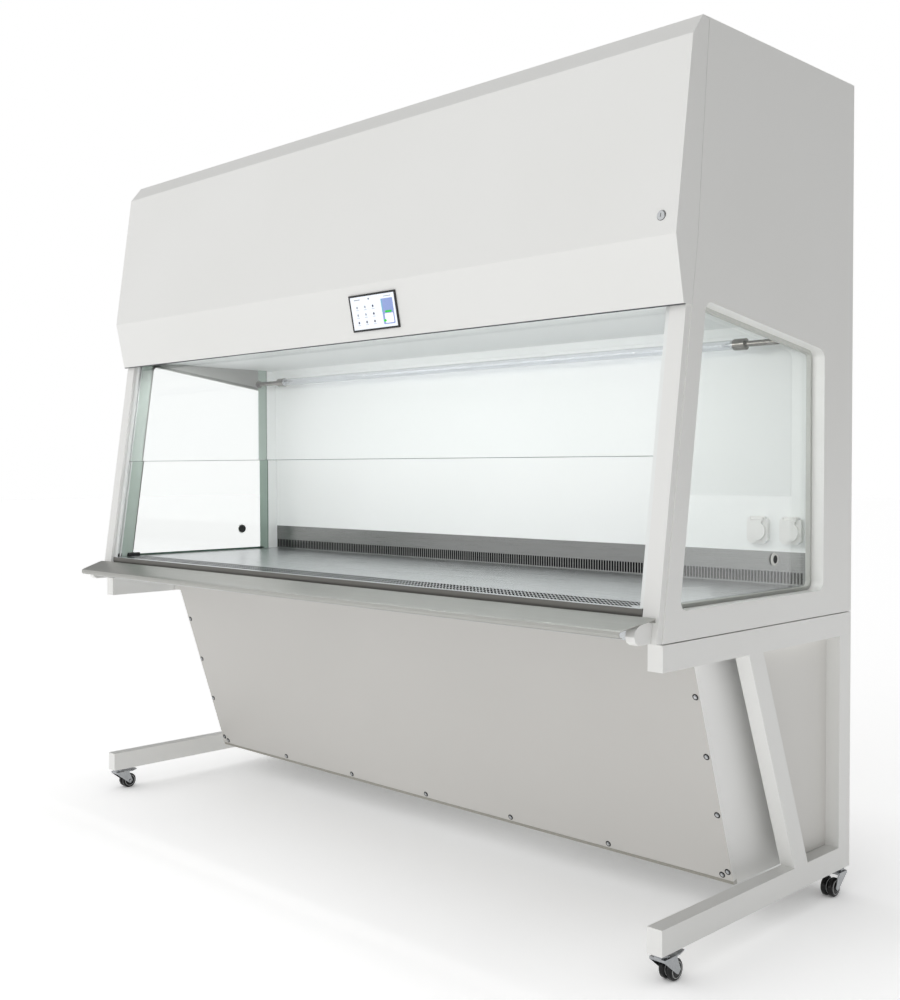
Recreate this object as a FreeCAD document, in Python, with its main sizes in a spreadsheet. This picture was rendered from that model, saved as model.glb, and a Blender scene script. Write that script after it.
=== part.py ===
import FreeCAD, Part
import math
import os
import re
import Sketcher

# Biological safety cabinet on a wheeled stand.
# Millimetres, +Z up, +X to the right, the sash faces -Y.
# Every piece is drawn with the back of the cabinet on Y = 0 and the floor on Z = 0.
# The node placements then move the back to half the overall depth, so that the
# origin lies under the middle of the cabinet.

DRIVING_SIZES = [
    # Overall
    ("overall_depth", 980, "front lip of the armrest to the back"),
    ("half_width", 1183, "middle to the outer face of a side panel"),
    ("cabinet_top", 2145, "floor to the top cover"),
    ("play", 0.3, "gap between pieces that move past each other"),
    ("running_fit", 0.05, "radial clearance of a pin in its bore"),
    ("sheet", 2, "thickness of folded sheet"),
    # Stand
    ("tube_height", 60, "height of the stand's tubes"),
    ("tube_width", 40, "width of the stand's tubes"),
    ("foot_clearance", 70, "floor to the foot beam"),
    ("stand_top", 753, "floor to the top of the side frames"),
    ("stand_depth", 865, "front of the foot beam to the back"),
    ("seam_gap", 2.6, "shadow joint between stand and cabinet"),
    ("brace_head", 512, "front of the brace under the top beam, from the back"),
    ("brace_foot", 290, "front of the brace on the foot beam, from the back"),
    ("brace_run", 64.5, "level width of the slanted brace"),
    ("infill_margin", 12, "how far an infill sheet laps its tubes"),
    ("rail_depth", 40, "depth of the cross rails"),
    ("front_rail_reach", 616, "front of the front cross rail, from the back"),
    # Closed box between the side frames
    ("service_half", 1095, "middle to the outside of the service box"),
    ("knee_foot_height", 102, "floor to the knee panel"),
    ("knee_foot_reach", 431, "foot of the knee panel, from the back"),
    ("knee_tilt", 17.67, "slope of the knee panel from upright, degrees"),
    ("knee_return", 14, "folded edge of the knee panel"),
    ("screw_head_radius", 5, "button head"),
    ("screw_head_height", 2.6, "button head"),
    ("edge_screw_pitch", 152, "spacing up the panel's edges"),
    ("edge_screw_count", 4, "screws in each upright row"),
    ("foot_screw_pitch", 355, "spacing along the panel's foot"),
    ("foot_screw_count", 7, "screws along the foot"),
    ("screw_inset", 12, "screw line to the panel's edge"),
    ("foot_screw_rise", 20, "screw row above the panel's foot"),
    # Castors
    ("wheel_radius", 25, "castor wheel"),
    ("tyre_width", 14, "one of the twin wheels"),
    ("twin_gap", 6, "between the twin wheels"),
    ("hub_radius", 9, "wheel hub"),
    ("axle_radius", 4, "wheel axle"),
    ("castor_trail", 36, "stem to wheel centre"),
    ("fork_sheet", 2.5, "castor fork leg"),
    ("race_radius", 18, "swivel bearing ring"),
    ("race_height", 9, "swivel bearing ring"),
    ("crown_height", 6, "top of the fork"),
    ("stem_radius", 6, "castor stem"),
    ("stem_length", 34, "stem inside the foot beam"),
    ("front_castor_inset", 26, "stem to the front end of the foot beam"),
    ("rear_castor_inset", 30, "stem to the back"),
    ("pedal_length", 36, "brake pedal"),
    ("pedal_thickness", 3, "brake pedal"),
    ("pedal_pin_radius", 2, "brake pedal pin"),
    # Side panels and front slope
    ("side_wall", 46, "thickness of a side panel"),
    ("skin_inset", 3, "outer skin proud of the front post"),
    ("skin_foot", 864, "front edge of the skin at the seam, from the back"),
    ("front_tilt", 8.3, "slope of the front from upright, degrees"),
    ("post_proud", 20, "front post ahead of the skin"),
    ("hood_start", 1648, "height of the fold in the front cover"),
    ("skin_head", 690, "front edge of the skin at the top, from the back"),
    ("window_foot", 821, "lower edge of the side window"),
    ("window_head_front", 1513, "upper edge of the side window at the front"),
    ("window_head_rear", 1438, "upper edge of the side window at the back"),
    ("window_front_margin", 54, "skin edge to window"),
    ("window_back_margin", 152, "window to the back"),
    ("window_radius", 24, "corner of the side window"),
    ("seal_width", 9, "visible rubber of the window seal"),
    ("seal_depth", 12, "depth of the window seal"),
    ("pane", 6, "side glass"),
    ("port_reach", 320, "glass port, from the back"),
    ("port_height", 908, "glass port, above the floor"),
    ("port_radius", 14, "flange of the port"),
    ("port_hole_radius", 10, "hole in the glass"),
    # Hood
    ("lip_reach", 789, "bottom of the front cover, from the back"),
    ("lip_height", 1499, "bottom of the front cover"),
    ("fold_reach", 819, "fold of the front cover, from the back"),
    ("shoulder_reach", 755, "upper fold of the front cover, from the back"),
    ("shoulder_height", 2095.6, "upper fold of the front cover"),
    ("crown_reach", 715.5, "top edge of the front cover, from the back"),
    ("lip_return", 12, "folded edge under the front cover"),
    ("cheek_gap", 1.5, "joint between cover cheek and side panel"),
    ("hinge_reach", 711, "cover hinge pin, from the back"),
    ("hinge_drop", 6, "cover hinge pin below the top"),
    ("hinge_pin_radius", 2.5, "cover hinge pin"),
    ("hinge_pin_length", 16, "cover hinge pin"),
    ("lug_wall", 2.1, "wall round the hinge pin"),
    ("lug_drop", 20, "foot of the hinge lug below the pin"),
    ("strike_rise", 30, "lock strike"),
    ("strike_gap", 14, "lock strike behind the cover's face"),
    ("strike_offset", 14, "lock strike beside the lock"),
    ("top_front_reach", 703, "front edge of the top cover, from the back"),
    ("vent_pitch", 40, "spacing of the exhaust slots"),
    ("vent_count", 20, "exhaust slots in a row"),
    ("vent_width", 16, "exhaust slot"),
    ("vent_length", 170, "exhaust slot"),
    ("vent_middle", 440, "middle of the exhaust slots, from the back"),
    # Lock and display
    ("lock_offset", 1140, "lock from the middle"),
    ("lock_height", 1693, "lock above the floor"),
    ("lock_radius", 11, "lock rosette"),
    ("lock_barrel_radius", 9, "lock barrel"),
    ("lock_barrel_length", 24, "lock barrel behind the cover"),
    ("lock_rosette", 3, "lock rosette in front of the cover"),
    ("display_offset", 180, "middle of the display from the middle"),
    ("display_height", 1572, "middle of the display above the floor"),
    ("display_width", 192, "display frame"),
    ("display_rise", 102, "display frame"),
    ("display_depth", 4, "display frame in front of the cover"),
    ("screen_width", 181, "screen"),
    ("screen_rise", 91, "screen"),
    # Work chamber
    ("worktop", 829, "floor to the work surface"),
    ("chamber_back", 157, "face of the back wall, from the back"),
    ("ceiling", 1516, "floor to the chamber ceiling"),
    ("tray_count", 4, "worktop trays"),
    ("tray_gap", 1, "between trays"),
    ("tray_skirt", 18, "folded edge under a tray"),
    ("grille_back", 752, "rear edge of the front grille, from the back"),
    ("grille_front", 868, "front edge of the front grille, from the back"),
    ("sill_drop", 40, "front face under the front grille"),
    ("front_slot_pitch", 24, "spacing of the front slots"),
    ("front_slot_count", 92, "front slots in a row"),
    ("front_slot_width", 9, "front slot"),
    ("front_slot_length", 22, "front slot"),
    ("front_slot_rows", 2, "rows of front slots"),
    ("front_slot_row_pitch", 36, "spacing of the rows"),
    ("front_slot_inset", 20, "grille edge to the first row"),
    ("rear_strip_top", 915, "top of the slotted back strip"),
    ("rear_slot_pitch", 12.5, "spacing of the rear slots"),
    ("rear_slot_count", 178, "rear slots"),
    ("rear_slot_width", 5.5, "rear slot"),
    ("rear_slot_length", 30, "rear slot"),
    ("rear_slot_rise", 3, "rear slots above the work surface"),
    ("trim_drop", 46, "trim under the ceiling"),
    ("trim_depth", 14, "trim in front of the back wall"),
    ("rib_width", 20, "support rib under the trays"),
    ("side_gap", 0.5, "sheet to glass"),
    # Sash
    ("sash_edge", 1165, "lower edge of the sash at rest"),
    ("sash_rise", 740, "height of the sash"),
    ("sash_glass", 8, "sash glass"),
    ("sash_half", 1126, "middle to the edge of the sash"),
    ("sash_setback", -4, "front of the sash behind the skin's edge"),
    ("guide_web", 9, "sash guide web"),
    ("guide_flange", 8, "sash guide flange"),
    ("guide_wall", 4, "sash guide flange"),
    ("guide_top", 2080, "top of the sash guides"),
    # Sash drive
    ("pulley_radius", 20, "toothed belt pulley"),
    ("belt_thickness", 2, "toothed belt"),
    ("belt_width", 14, "toothed belt"),
    ("belt_offset", 1090, "belt middle from the middle"),
    ("belt_setback", 36, "pulley centre behind the sash's back"),
    ("drive_height", 2098, "drive shaft above the floor"),
    ("idler_height", 1542, "idlers above the floor"),
    ("shaft_radius", 6, "drive shaft"),
    ("shaft_socket", 8, "shaft end inside a side panel"),
    ("clamp_width", 26, "sash clamp"),
    ("clamp_rise", 30, "sash clamp"),
    ("motor_offset", 760, "drive motor from the middle"),
    ("motor_radius", 32, "drive motor"),
    ("motor_length", 150, "drive motor"),
    # Fans and filters
    ("filter_half", 1090, "supply filter, middle to end"),
    ("filter_front", 668, "supply filter, from the back"),
    ("filter_back", 175, "supply filter, from the back"),
    ("filter_height", 90, "supply filter"),
    ("filter_frame", 22, "filter frame"),
    ("pleat_recess", 6, "filter pack below its frame"),
    ("exhaust_half", 420, "exhaust filter, middle to end"),
    ("exhaust_height", 78, "exhaust filter"),
    ("blower_offset", 560, "blower from the middle"),
    ("blower_reach", 420, "blower, from the back"),
    ("blower_radius", 190, "blower housing"),
    ("blower_height", 210, "blower housing"),
    ("blower_wall", 4, "blower housing"),
    ("inlet_radius", 120, "blower inlet"),
    ("impeller_radius", 150, "impeller"),
    ("impeller_blades", 16, "impeller blades"),
    ("blade_height", 90, "impeller blade"),
    ("blade_length", 46, "impeller blade"),
    ("blade_thickness", 3, "impeller blade"),
    ("fan_motor_radius", 60, "fan motor under the impeller"),
    ("fan_motor_height", 70, "fan motor under the impeller"),
    ("fan_shaft_radius", 8, "fan shaft"),
    ("fan_shaft_depth", 30, "fan shaft inside its motor"),
    ("control_box_length", 320, "control box"),
    ("control_box_depth", 120, "control box"),
    ("control_box_height", 160, "control box"),
    ("light_depth", 32, "work light"),
    ("light_height", 26, "work light"),
    # Armrest
    ("armrest_half", 1180, "middle to the end of the armrest"),
    ("armrest_back", 887, "rear edge of the armrest, from the back"),
    ("armrest_height", 814, "rear edge of the armrest above the floor"),
    ("armrest_drop", 21, "fall of the armrest to its lip"),
    ("armrest_corner", 30, "how far the lip stops short of the armrest's rear corner"),
    ("bracket_width", 25, "armrest bracket"),
    ("armrest_nose", 9, "radius of the armrest's lip"),
    ("bracket_reach", 944, "nose of the bracket, from the back"),
    ("bracket_foot", 757, "bottom of the bracket"),
    # Lamp and sockets on the back wall
    ("lamp_reach", 235, "germicidal lamp, from the back"),
    ("lamp_height", 1462, "germicidal lamp"),
    ("lamp_radius", 13, "germicidal lamp"),
    ("lamp_half", 985, "middle to the lamp's end"),
    ("lamp_cap_radius", 15.5, "lamp holder cup"),
    ("lamp_cap_length", 34, "lamp holder cup"),
    ("lamp_cup_depth", 18, "lamp inside its cup"),
    ("lamp_arm_radius", 8, "lamp holder arm"),
    ("socket_first", 996, "first socket from the middle"),
    ("socket_pitch", 97, "between the sockets"),
    ("socket_height", 972, "middle of a socket"),
    ("socket_width", 62, "socket base"),
    ("socket_rise", 72, "socket base"),
    ("socket_depth", 12, "socket base"),
    ("lid_width", 52, "socket lid"),
    ("lid_rise", 58, "socket lid"),
    ("lid_thickness", 6, "socket lid"),
    ("lid_pin_radius", 2, "socket lid pin"),
    ("lid_ear", 4, "ear beside the socket lid"),
]

FUNCTIONS = {"sin", "cos", "tan", "atan", "sqrt", "abs", "min", "max", "floor", "ceil"}

doc = FreeCAD.newDocument("safety_cabinet")
sheet = doc.addObject("Spreadsheet::Sheet", "Sizes")
for row, (alias, value, meaning) in enumerate(DRIVING_SIZES, start=1):
    sheet.set(f"A{row}", alias)
    sheet.set(f"B{row}", str(value))
    sheet.set(f"C{row}", meaning)
    sheet.setAlias(f"B{row}", alias)
doc.recompute()

nodes = []
shift_back = "overall_depth / 2"


# Expressions

def size(alias):
    return float(sheet.get(alias))


def formula(text):
    def name(match):
        word = match.group()
        return word if word in FUNCTIONS else "Sizes." + word
    return re.sub(r"[a-z][a-z_]*", name, str(text))


def bind(thing, prop, text):
    thing.setExpression(prop, formula(text))


# Names for places that many pieces share
inner = "(half_width - side_wall)"
cabinet_foot = "(stand_top + seam_gap)"
glass_face = "(half_width - side_wall - pane)"
beam_foot_top = "(foot_clearance + tube_height)"
beam_head_foot = "(stand_top - tube_height)"
frame_inner = "(half_width - tube_width)"


def front_line(height, offset="0"):
    """Y of the front slope at a height, with a level offset to the rear."""
    return f"(-skin_foot + ({height} - {cabinet_foot}) * tan(front_tilt) + {offset})"


def knee_line(height, offset="0"):
    """Y of the knee panel's face at a height."""
    return f"(-knee_foot_reach - ({height} - knee_foot_height) * tan(knee_tilt) + {offset})"


# Bodies made of sketches

def new_body(name):
    return doc.addObject("PartDesign::Body", name)


def origin_plane(body, role):
    return next(f for f in body.Origin.OriginFeatures if f.Role == role)


def sketch_on(body, role, offset="0"):
    sketch = body.newObject("Sketcher::SketchObject", body.Name + "_sketch")
    sketch.AttachmentSupport = [(origin_plane(body, role), "")]
    sketch.MapMode = "FlatFace"
    bind(sketch, "AttachmentOffset.Base.z", offset)
    return sketch


def pin_point(sketch, geometry, corner, across, up):
    """Ties one sketch point to the sketch's origin by two named lengths."""
    for kind, text in (("DistanceX", across), ("DistanceY", up)):
        number = sketch.addConstraint(Sketcher.Constraint(kind, -1, 1, geometry, corner, 1.0))
        label = f"{kind}_{geometry}_{corner}"
        sketch.renameConstraint(number, label)
        bind(sketch, f"Constraints.{label}", text)


def add_polygon(sketch, points):
    count = len(points)
    start = sketch.GeometryCount
    ring = [FreeCAD.Vector(100 * math.cos(2 * math.pi * i / count),
                           100 * math.sin(2 * math.pi * i / count), 0) for i in range(count)]
    for i in range(count):
        sketch.addGeometry(Part.LineSegment(ring[i], ring[(i + 1) % count]))
    for i in range(count):
        following = start + (i + 1) % count
        sketch.addConstraint(Sketcher.Constraint("Coincident", start + i, 2, following, 1))
    for i, (across, up) in enumerate(points):
        pin_point(sketch, start + i, 1, across, up)


def add_circle(sketch, across, up, radius):
    number = sketch.addGeometry(Part.Circle(FreeCAD.Vector(1, 1, 0), FreeCAD.Vector(0, 0, 1), 5))
    pin_point(sketch, number, 3, across, up)
    radius_number = sketch.addConstraint(Sketcher.Constraint("Radius", number, 5))
    label = f"Radius_{number}"
    sketch.renameConstraint(radius_number, label)
    bind(sketch, f"Constraints.{label}", radius)


def fill_sketch(sketch, loops):
    for loop in loops:
        if loop[0] == "circle":
            add_circle(sketch, *loop[1:])
        else:
            add_polygon(sketch, loop)


def pad(body, role, loops, start, length):
    """Pads closed loops from an offset along the plane's own normal."""
    sketch = sketch_on(body, role, start)
    fill_sketch(sketch, loops)
    feature = body.newObject("PartDesign::Pad", body.Name + "_pad")
    feature.Profile = sketch
    bind(feature, "Length", length)
    return feature


def pocket(body, role, loops, start, length, against_normal=True):
    """Cuts loops from an offset. A pocket runs against the plane's normal unless reversed."""
    sketch = sketch_on(body, role, start)
    fill_sketch(sketch, loops)
    feature = body.newObject("PartDesign::Pocket", body.Name + "_pocket")
    feature.Profile = sketch
    feature.Reversed = not against_normal
    bind(feature, "Length", length)
    return feature


def revolve(body, role, points, start="0"):
    """Turns a closed outline about the sketch's own horizontal axis."""
    sketch = sketch_on(body, role, start)
    add_polygon(sketch, points)
    feature = body.newObject("PartDesign::Revolution", body.Name + "_turned")
    feature.Profile = sketch
    feature.ReferenceAxis = (sketch, ["H_Axis"])
    feature.Angle = 360
    return feature


def repeat(body, features, direction, pitch, count):
    """Repeats features in a straight row, middle of the row on the first."""
    pattern = body.newObject("PartDesign::LinearPattern", body.Name + "_row")
    pattern.Originals = features
    pattern.Direction = (features[0].Profile[0], [direction])
    bind(pattern, "Length", f"{pitch} * ({count} - 1)")
    bind(pattern, "Occurrences", count)
    body.Tip = pattern
    return pattern


def round_edges(body, radius, wanted):
    """Fillets the edges of the body's tip that a test picks out."""
    doc.recompute()
    base = body.Tip
    names = [f"Edge{i}" for i, edge in enumerate(base.Shape.Edges, start=1) if wanted(edge)]
    fillet = body.newObject("PartDesign::Fillet", body.Name + "_round")
    fillet.Base = (base, names)
    bind(fillet, "Radius", radius)
    return fillet


def rectangle(left, right, low, high, inset="0"):
    """Corners of a rectangle, drawn in by an inset."""
    return [(f"{left} + ({inset})", f"{low} + ({inset})"), (f"{right} - ({inset})", f"{low} + ({inset})"),
            (f"{right} - ({inset})", f"{high} - ({inset})"), (f"{left} + ({inset})", f"{high} - ({inset})")]


# Primitives and booleans

level = {}


def block(name, start, end):
    """A box between two corners, each given by three formulas."""
    box = doc.addObject("Part::Box", name)
    for prop, low, high in zip(("Length", "Width", "Height"), start, end):
        bind(box, prop, f"({high}) - ({low})")
    for axis, low in zip("xyz", start):
        bind(box, f"Placement.Base.{axis}", low)
    level[box.Name] = start[1]
    return box


def rod(name, middle, axis, radius, length):
    """A cylinder along X, Y or Z, from a start point."""
    cylinder = doc.addObject("Part::Cylinder", name)
    turns = {"x": (FreeCAD.Vector(0, 1, 0), 90), "y": (FreeCAD.Vector(1, 0, 0), -90),
             "z": (FreeCAD.Vector(0, 0, 1), 0)}
    cylinder.Placement.Rotation = FreeCAD.Rotation(*turns[axis])
    bind(cylinder, "Radius", radius)
    bind(cylinder, "Height", length)
    for letter, text in zip("xyz", middle):
        bind(cylinder, f"Placement.Base.{letter}", text)
    level[cylinder.Name] = middle[1]
    return cylinder


def fuse(name, pieces):
    joined = doc.addObject("Part::MultiFuse", name)
    joined.Shapes = pieces
    joined.Refine = True
    return joined


def cut(name, base, tool):
    result = doc.addObject("Part::Cut", name)
    result.Base = base
    result.Tool = tool
    return result


def group(name, pieces):
    """Separate solids of one kind that share a node."""
    together = doc.addObject("Part::Compound", name)
    together.Links = pieces
    return together


def mirrored(name, source):
    """The same piece on the other side of the middle plane."""
    copy = doc.addObject("Part::Mirroring", name)
    copy.Source = source
    copy.Normal = FreeCAD.Vector(1, 0, 0)
    copy.Base = FreeCAD.Vector(0, 0, 0)
    return copy


def node(thing, label):
    """Names a finished sub-part and moves it into the cabinet's own frame."""
    thing.Label = label
    bind(thing, "Placement.Base.y", f"({level.get(thing.Name, '0')}) + {shift_back}")
    nodes.append(thing)
    return thing


def pair_nodes(right, label):
    """A right-hand sub-part and its mirror image, as two nodes."""
    node(right, label + "_right")
    left = mirrored(label + "_mirror", right)
    left.Label = label + "_left"
    nodes.append(left)
    return left


def pair_group(right, label):
    """Right-hand and left-hand solids in one node."""
    both = group(label + "_pair", [right, mirrored(label + "_mirror", right)])
    return node(both, label)


# Stand

def stand_sides():
    """Welded frame of one side: beams, rear post, brace and infill sheet."""
    body = new_body("side_frame")
    outline = [("-stand_depth", "foot_clearance"), ("0", "foot_clearance"), ("0", "stand_top"),
               ("-stand_depth", "stand_top"), ("-stand_depth", beam_head_foot),
               ("-brace_head", beam_head_foot), ("-brace_foot", beam_foot_top),
               ("-stand_depth", beam_foot_top)]
    opening = [("-(brace_foot - brace_run)", beam_foot_top), ("-tube_height", beam_foot_top),
               ("-tube_height", beam_head_foot), ("-(brace_head - brace_run)", beam_head_foot)]
    pad(body, "YZ_Plane", [outline, opening], frame_inner, "tube_width")
    infill = [("-(brace_foot - brace_run) - infill_margin", f"{beam_foot_top} - infill_margin"),
              ("-tube_height + infill_margin", f"{beam_foot_top} - infill_margin"),
              ("-tube_height + infill_margin", f"{beam_head_foot} + infill_margin"),
              ("-(brace_head - brace_run) - infill_margin", f"{beam_head_foot} + infill_margin")]
    pad(body, "YZ_Plane", [infill], f"{frame_inner} - sheet", "sheet")
    stems = [("circle", f"half_width - tube_width / 2", f"-stand_depth + front_castor_inset",
              "stem_radius + running_fit"),
             ("circle", f"half_width - tube_width / 2", "-rear_castor_inset",
              "stem_radius + running_fit")]
    pocket(body, "XY_Plane", stems, "foot_clearance", "stem_length + 2 * play", False)
    pair_nodes(body, "stand_side")


def cross_rails():
    """Three tubes across the back and under the cabinet's front."""
    rear_high = block("rail_rear_high", (f"-{frame_inner}", "-rail_depth", beam_head_foot),
                      (frame_inner, "0", cabinet_foot))
    rear_low = block("rail_rear_low", (f"-{frame_inner}", "-rail_depth", "foot_clearance"),
                     (frame_inner, "0", beam_foot_top))
    front = block("rail_front", (f"-{frame_inner}", "-front_rail_reach", f"{beam_head_foot} + seam_gap"),
                  (frame_inner, "-front_rail_reach + rail_depth", cabinet_foot))
    node(group("cross_rail_set", [rear_high, rear_low, front]), "cross_rails")


def knee_panel():
    """Sloping front sheet with folded edges."""
    top = f"({beam_head_foot} + tube_height / 2)"
    back = "sheet / cos(knee_tilt)"
    fold = "knee_return / cos(knee_tilt)"
    body = new_body("knee_sheet")
    face = [(knee_line("knee_foot_height"), "knee_foot_height"), (knee_line(top), top),
            (knee_line(top, back), top), (knee_line("knee_foot_height", back), "knee_foot_height")]
    pad(body, "YZ_Plane", [face], "-service_half", "2 * service_half")
    edge_top = f"({beam_head_foot} - sheet)"
    edge = [(knee_line("knee_foot_height"), "knee_foot_height"), (knee_line(edge_top), edge_top),
            (knee_line(edge_top, fold), edge_top),
            (knee_line("knee_foot_height", fold), "knee_foot_height")]
    pad(body, "YZ_Plane", [edge], "-service_half", "sheet")
    pad(body, "YZ_Plane", [edge], "service_half - sheet", "sheet")
    foot_rise = "(knee_foot_height + sheet)"
    foot = [(knee_line("knee_foot_height"), "knee_foot_height"), (knee_line(foot_rise), foot_rise),
            (knee_line(foot_rise, fold), foot_rise),
            (knee_line("knee_foot_height", fold), "knee_foot_height")]
    pad(body, "YZ_Plane", [foot], "-service_half", "2 * service_half")
    node(body, "knee_panel")


def service_box():
    """Two cheeks with a folded floor and back that close the knee panel's box."""
    fold = "(knee_return / cos(knee_tilt) + play)"
    cheek_top = f"({beam_head_foot} - sheet)"
    cheek_foot = "(knee_foot_height + sheet)"
    cheek = new_body("service_cheek")
    outline = [(knee_line(cheek_foot, fold), cheek_foot), ("-rail_depth - sheet", cheek_foot),
               ("-rail_depth - sheet", cheek_top), (knee_line(cheek_top, fold), cheek_top)]
    pad(cheek, "YZ_Plane", [outline], "service_half - sheet", "sheet")
    left = mirrored("service_cheek_mirror", cheek)
    tray = new_body("service_tray")
    back_face = "(-rail_depth - sheet)"
    fold_foot = knee_line("knee_foot_height", fold)
    profile = [(fold_foot, "knee_foot_height"), ("-rail_depth", "knee_foot_height"),
               ("-rail_depth", cheek_top), (back_face, cheek_top),
               (back_face, cheek_foot), (fold_foot, cheek_foot)]
    pad(tray, "YZ_Plane", [profile], "-service_half", "2 * service_half")
    node(group("service_box_set", [cheek, left, tray]), "service_box")


def panel_screws():
    """Button-head screws on the knee panel, up both edges and along the foot."""
    heads = []

    def head(number, across, height):
        screw = new_body(f"screw_{number}")
        for radius, length in (("screw_head_radius", "screw_head_height * 0.6"),
                               ("screw_head_radius * 0.7", "screw_head_height")):
            ring = [(f"{radius} * cos({i} * 30)", f"{radius} * sin({i} * 30)") for i in range(12)]
            pad(screw, "XZ_Plane", [ring], "0", length)
        screw.Placement.Rotation = FreeCAD.Rotation(FreeCAD.Vector(1, 0, 0), size("knee_tilt"))
        bind(screw, "Placement.Base.x", across)
        bind(screw, "Placement.Base.y", knee_line(height))
        bind(screw, "Placement.Base.z", height)
        heads.append(screw)

    foot_row = "(knee_foot_height + foot_screw_rise)"
    edge_count = int(size("edge_screw_count"))
    foot_count = int(size("foot_screw_count"))
    for i in range(edge_count):
        height = f"(knee_foot_height + foot_screw_rise + screw_inset + {i} * edge_screw_pitch)"
        head(f"left_{i}", "-service_half + screw_inset", height)
        head(f"right_{i}", "service_half - screw_inset", height)
    for i in range(foot_count):
        head(f"foot_{i}", f"({i} - (foot_screw_count - 1) / 2) * foot_screw_pitch", foot_row)
    node(group("panel_screw_set", heads), "panel_screws")


# Castors

def castor_fork(label, across, reach, turn):
    """Swivel fork with its bearing ring, stem and wheel axle."""
    wheels = "(tyre_width + twin_gap / 2 + 1)"
    leg_inside = f"({wheels} + play + 0.2)"
    leg_top = "(foot_clearance - play - race_height)"
    crown_foot = f"({leg_top} - crown_height)"
    ring = rod(label + "_ring", ("0", "0", leg_top), "z", "race_radius", "race_height")
    stem = rod(label + "_stem", ("0", "0", "foot_clearance - play"), "z", "stem_radius", "stem_length")
    crown = block(label + "_crown", (f"-{leg_inside} - fork_sheet", "-race_radius + 2", crown_foot),
                  (f"{leg_inside} + fork_sheet", "race_radius + 6", leg_top))
    axle = rod(label + "_axle", (f"-{leg_inside} - fork_sheet", "castor_trail", "wheel_radius"), "x",
               "axle_radius", f"2 * ({leg_inside} + fork_sheet)")
    leg = [("-race_radius + 2", leg_top), ("-race_radius + 2", crown_foot),
           ("castor_trail - hub_radius", "wheel_radius - hub_radius / 2"),
           ("castor_trail", "wheel_radius - hub_radius"),
           ("castor_trail + hub_radius", "wheel_radius"),
           ("race_radius + 14", crown_foot), ("race_radius + 14", leg_top)]
    pin = ("circle", "race_radius + 9", f"{crown_foot} + crown_height / 2",
           "pedal_pin_radius + running_fit")
    legs = new_body(label + "_legs")
    pad(legs, "YZ_Plane", [leg, pin], leg_inside, "fork_sheet")
    pad(legs, "YZ_Plane", [leg, pin], f"-{leg_inside} - fork_sheet", "fork_sheet")
    tie = fuse(label + "_frame", [ring, stem, crown, axle, legs])
    place_castor(tie, label, across, reach, turn)


def place_castor(thing, label, across, reach, turn):
    thing.Label = label
    thing.Placement.Rotation = FreeCAD.Rotation(FreeCAD.Vector(0, 0, 1), turn)
    bind(thing, "Placement.Base.x", across)
    bind(thing, "Placement.Base.y", f"{reach} + {shift_back}")
    nodes.append(thing)


def castor_wheels(label, across, reach, turn):
    """Twin wheels on one hub, turned about the axle."""
    body = new_body(label + "_turned")
    inside = "twin_gap / 2"
    outside = "(twin_gap / 2 + tyre_width)"
    bore = "(axle_radius + running_fit)"
    end = f"({outside} + 1)"
    soft = "3"
    half = [(end, bore), (end, "hub_radius"), (outside, "hub_radius"),
            (outside, f"wheel_radius - {soft}"), (f"{outside} - {soft}", "wheel_radius"),
            (f"{inside} + {soft}", "wheel_radius"), (inside, f"wheel_radius - {soft}"),
            (inside, "hub_radius")]
    other = [(f"-({place})", radius) for place, radius in reversed(half)]
    revolve(body, "XY_Plane", half + other)
    body.Placement.Rotation = FreeCAD.Rotation(FreeCAD.Vector(0, 0, 1), turn)
    direction = 1 if turn == 0 else -1
    body.Label = label
    bind(body, "Placement.Base.x", across)
    bind(body, "Placement.Base.y", f"{reach} + {direction} * castor_trail + {shift_back}")
    bind(body, "Placement.Base.z", "wheel_radius")
    nodes.append(body)


def brake_pedal(label, across, reach):
    """Foot pedal on a pin through the fork's legs."""
    leg_inside = "(tyre_width + twin_gap / 2 + 1 + play + 0.2)"
    pin_height = "(foot_clearance - play - race_height - crown_height / 2)"
    pin_reach = "(race_radius + 9)"
    pin = rod(label + "_pin", (f"-{leg_inside} - fork_sheet", pin_reach, pin_height), "x",
              "pedal_pin_radius", f"2 * ({leg_inside} + fork_sheet)")
    plate = new_body(label + "_plate")
    low = f"{pin_height} - pedal_thickness / 2"
    high = f"{pin_height} + pedal_thickness / 2"
    profile = [(f"{pin_reach} - 2.5", low), (f"{pin_reach} + pedal_length * 0.55", low),
               (f"{pin_reach} + pedal_length", f"{low} + 5"),
               (f"{pin_reach} + pedal_length", f"{high} + 5"),
               (f"{pin_reach} + pedal_length * 0.5", high), (f"{pin_reach} - 2.5", high)]
    pad(plate, "YZ_Plane", [profile], f"-{leg_inside} + play", f"2 * ({leg_inside} - play)")
    lever = fuse(label + "_lever", [pin, plate])
    place_castor(lever, label, across, reach, 0)


def castors():
    stem_across = "half_width - tube_width / 2"
    front = "(-stand_depth + front_castor_inset)"
    rear = "(-rear_castor_inset)"
    for end, reach, turn in (("front", front, 0), ("rear", rear, 180)):
        for side, sign in (("left", "-"), ("right", "")):
            across = f"{sign}({stem_across})"
            castor_fork(f"castor_fork_{end}_{side}", across, reach, turn)
            castor_wheels(f"castor_wheels_{end}_{side}", across, reach, turn)
            if end == "front":
                brake_pedal(f"brake_pedal_{side}", across, reach)


# Cabinet shell

def side_window(margin="0"):
    """Corners of the side window, drawn in by a margin."""
    low = f"(window_foot + {margin})"
    high_front = f"(window_head_front - {margin})"
    high_rear = f"(window_head_rear - {margin})"
    return [(front_line(low, f"window_front_margin + {margin}"), low),
            (f"-window_back_margin - {margin}", low),
            (f"-window_back_margin - {margin}", high_rear),
            (front_line(high_front, f"window_front_margin + {margin}"), high_front)]


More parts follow.
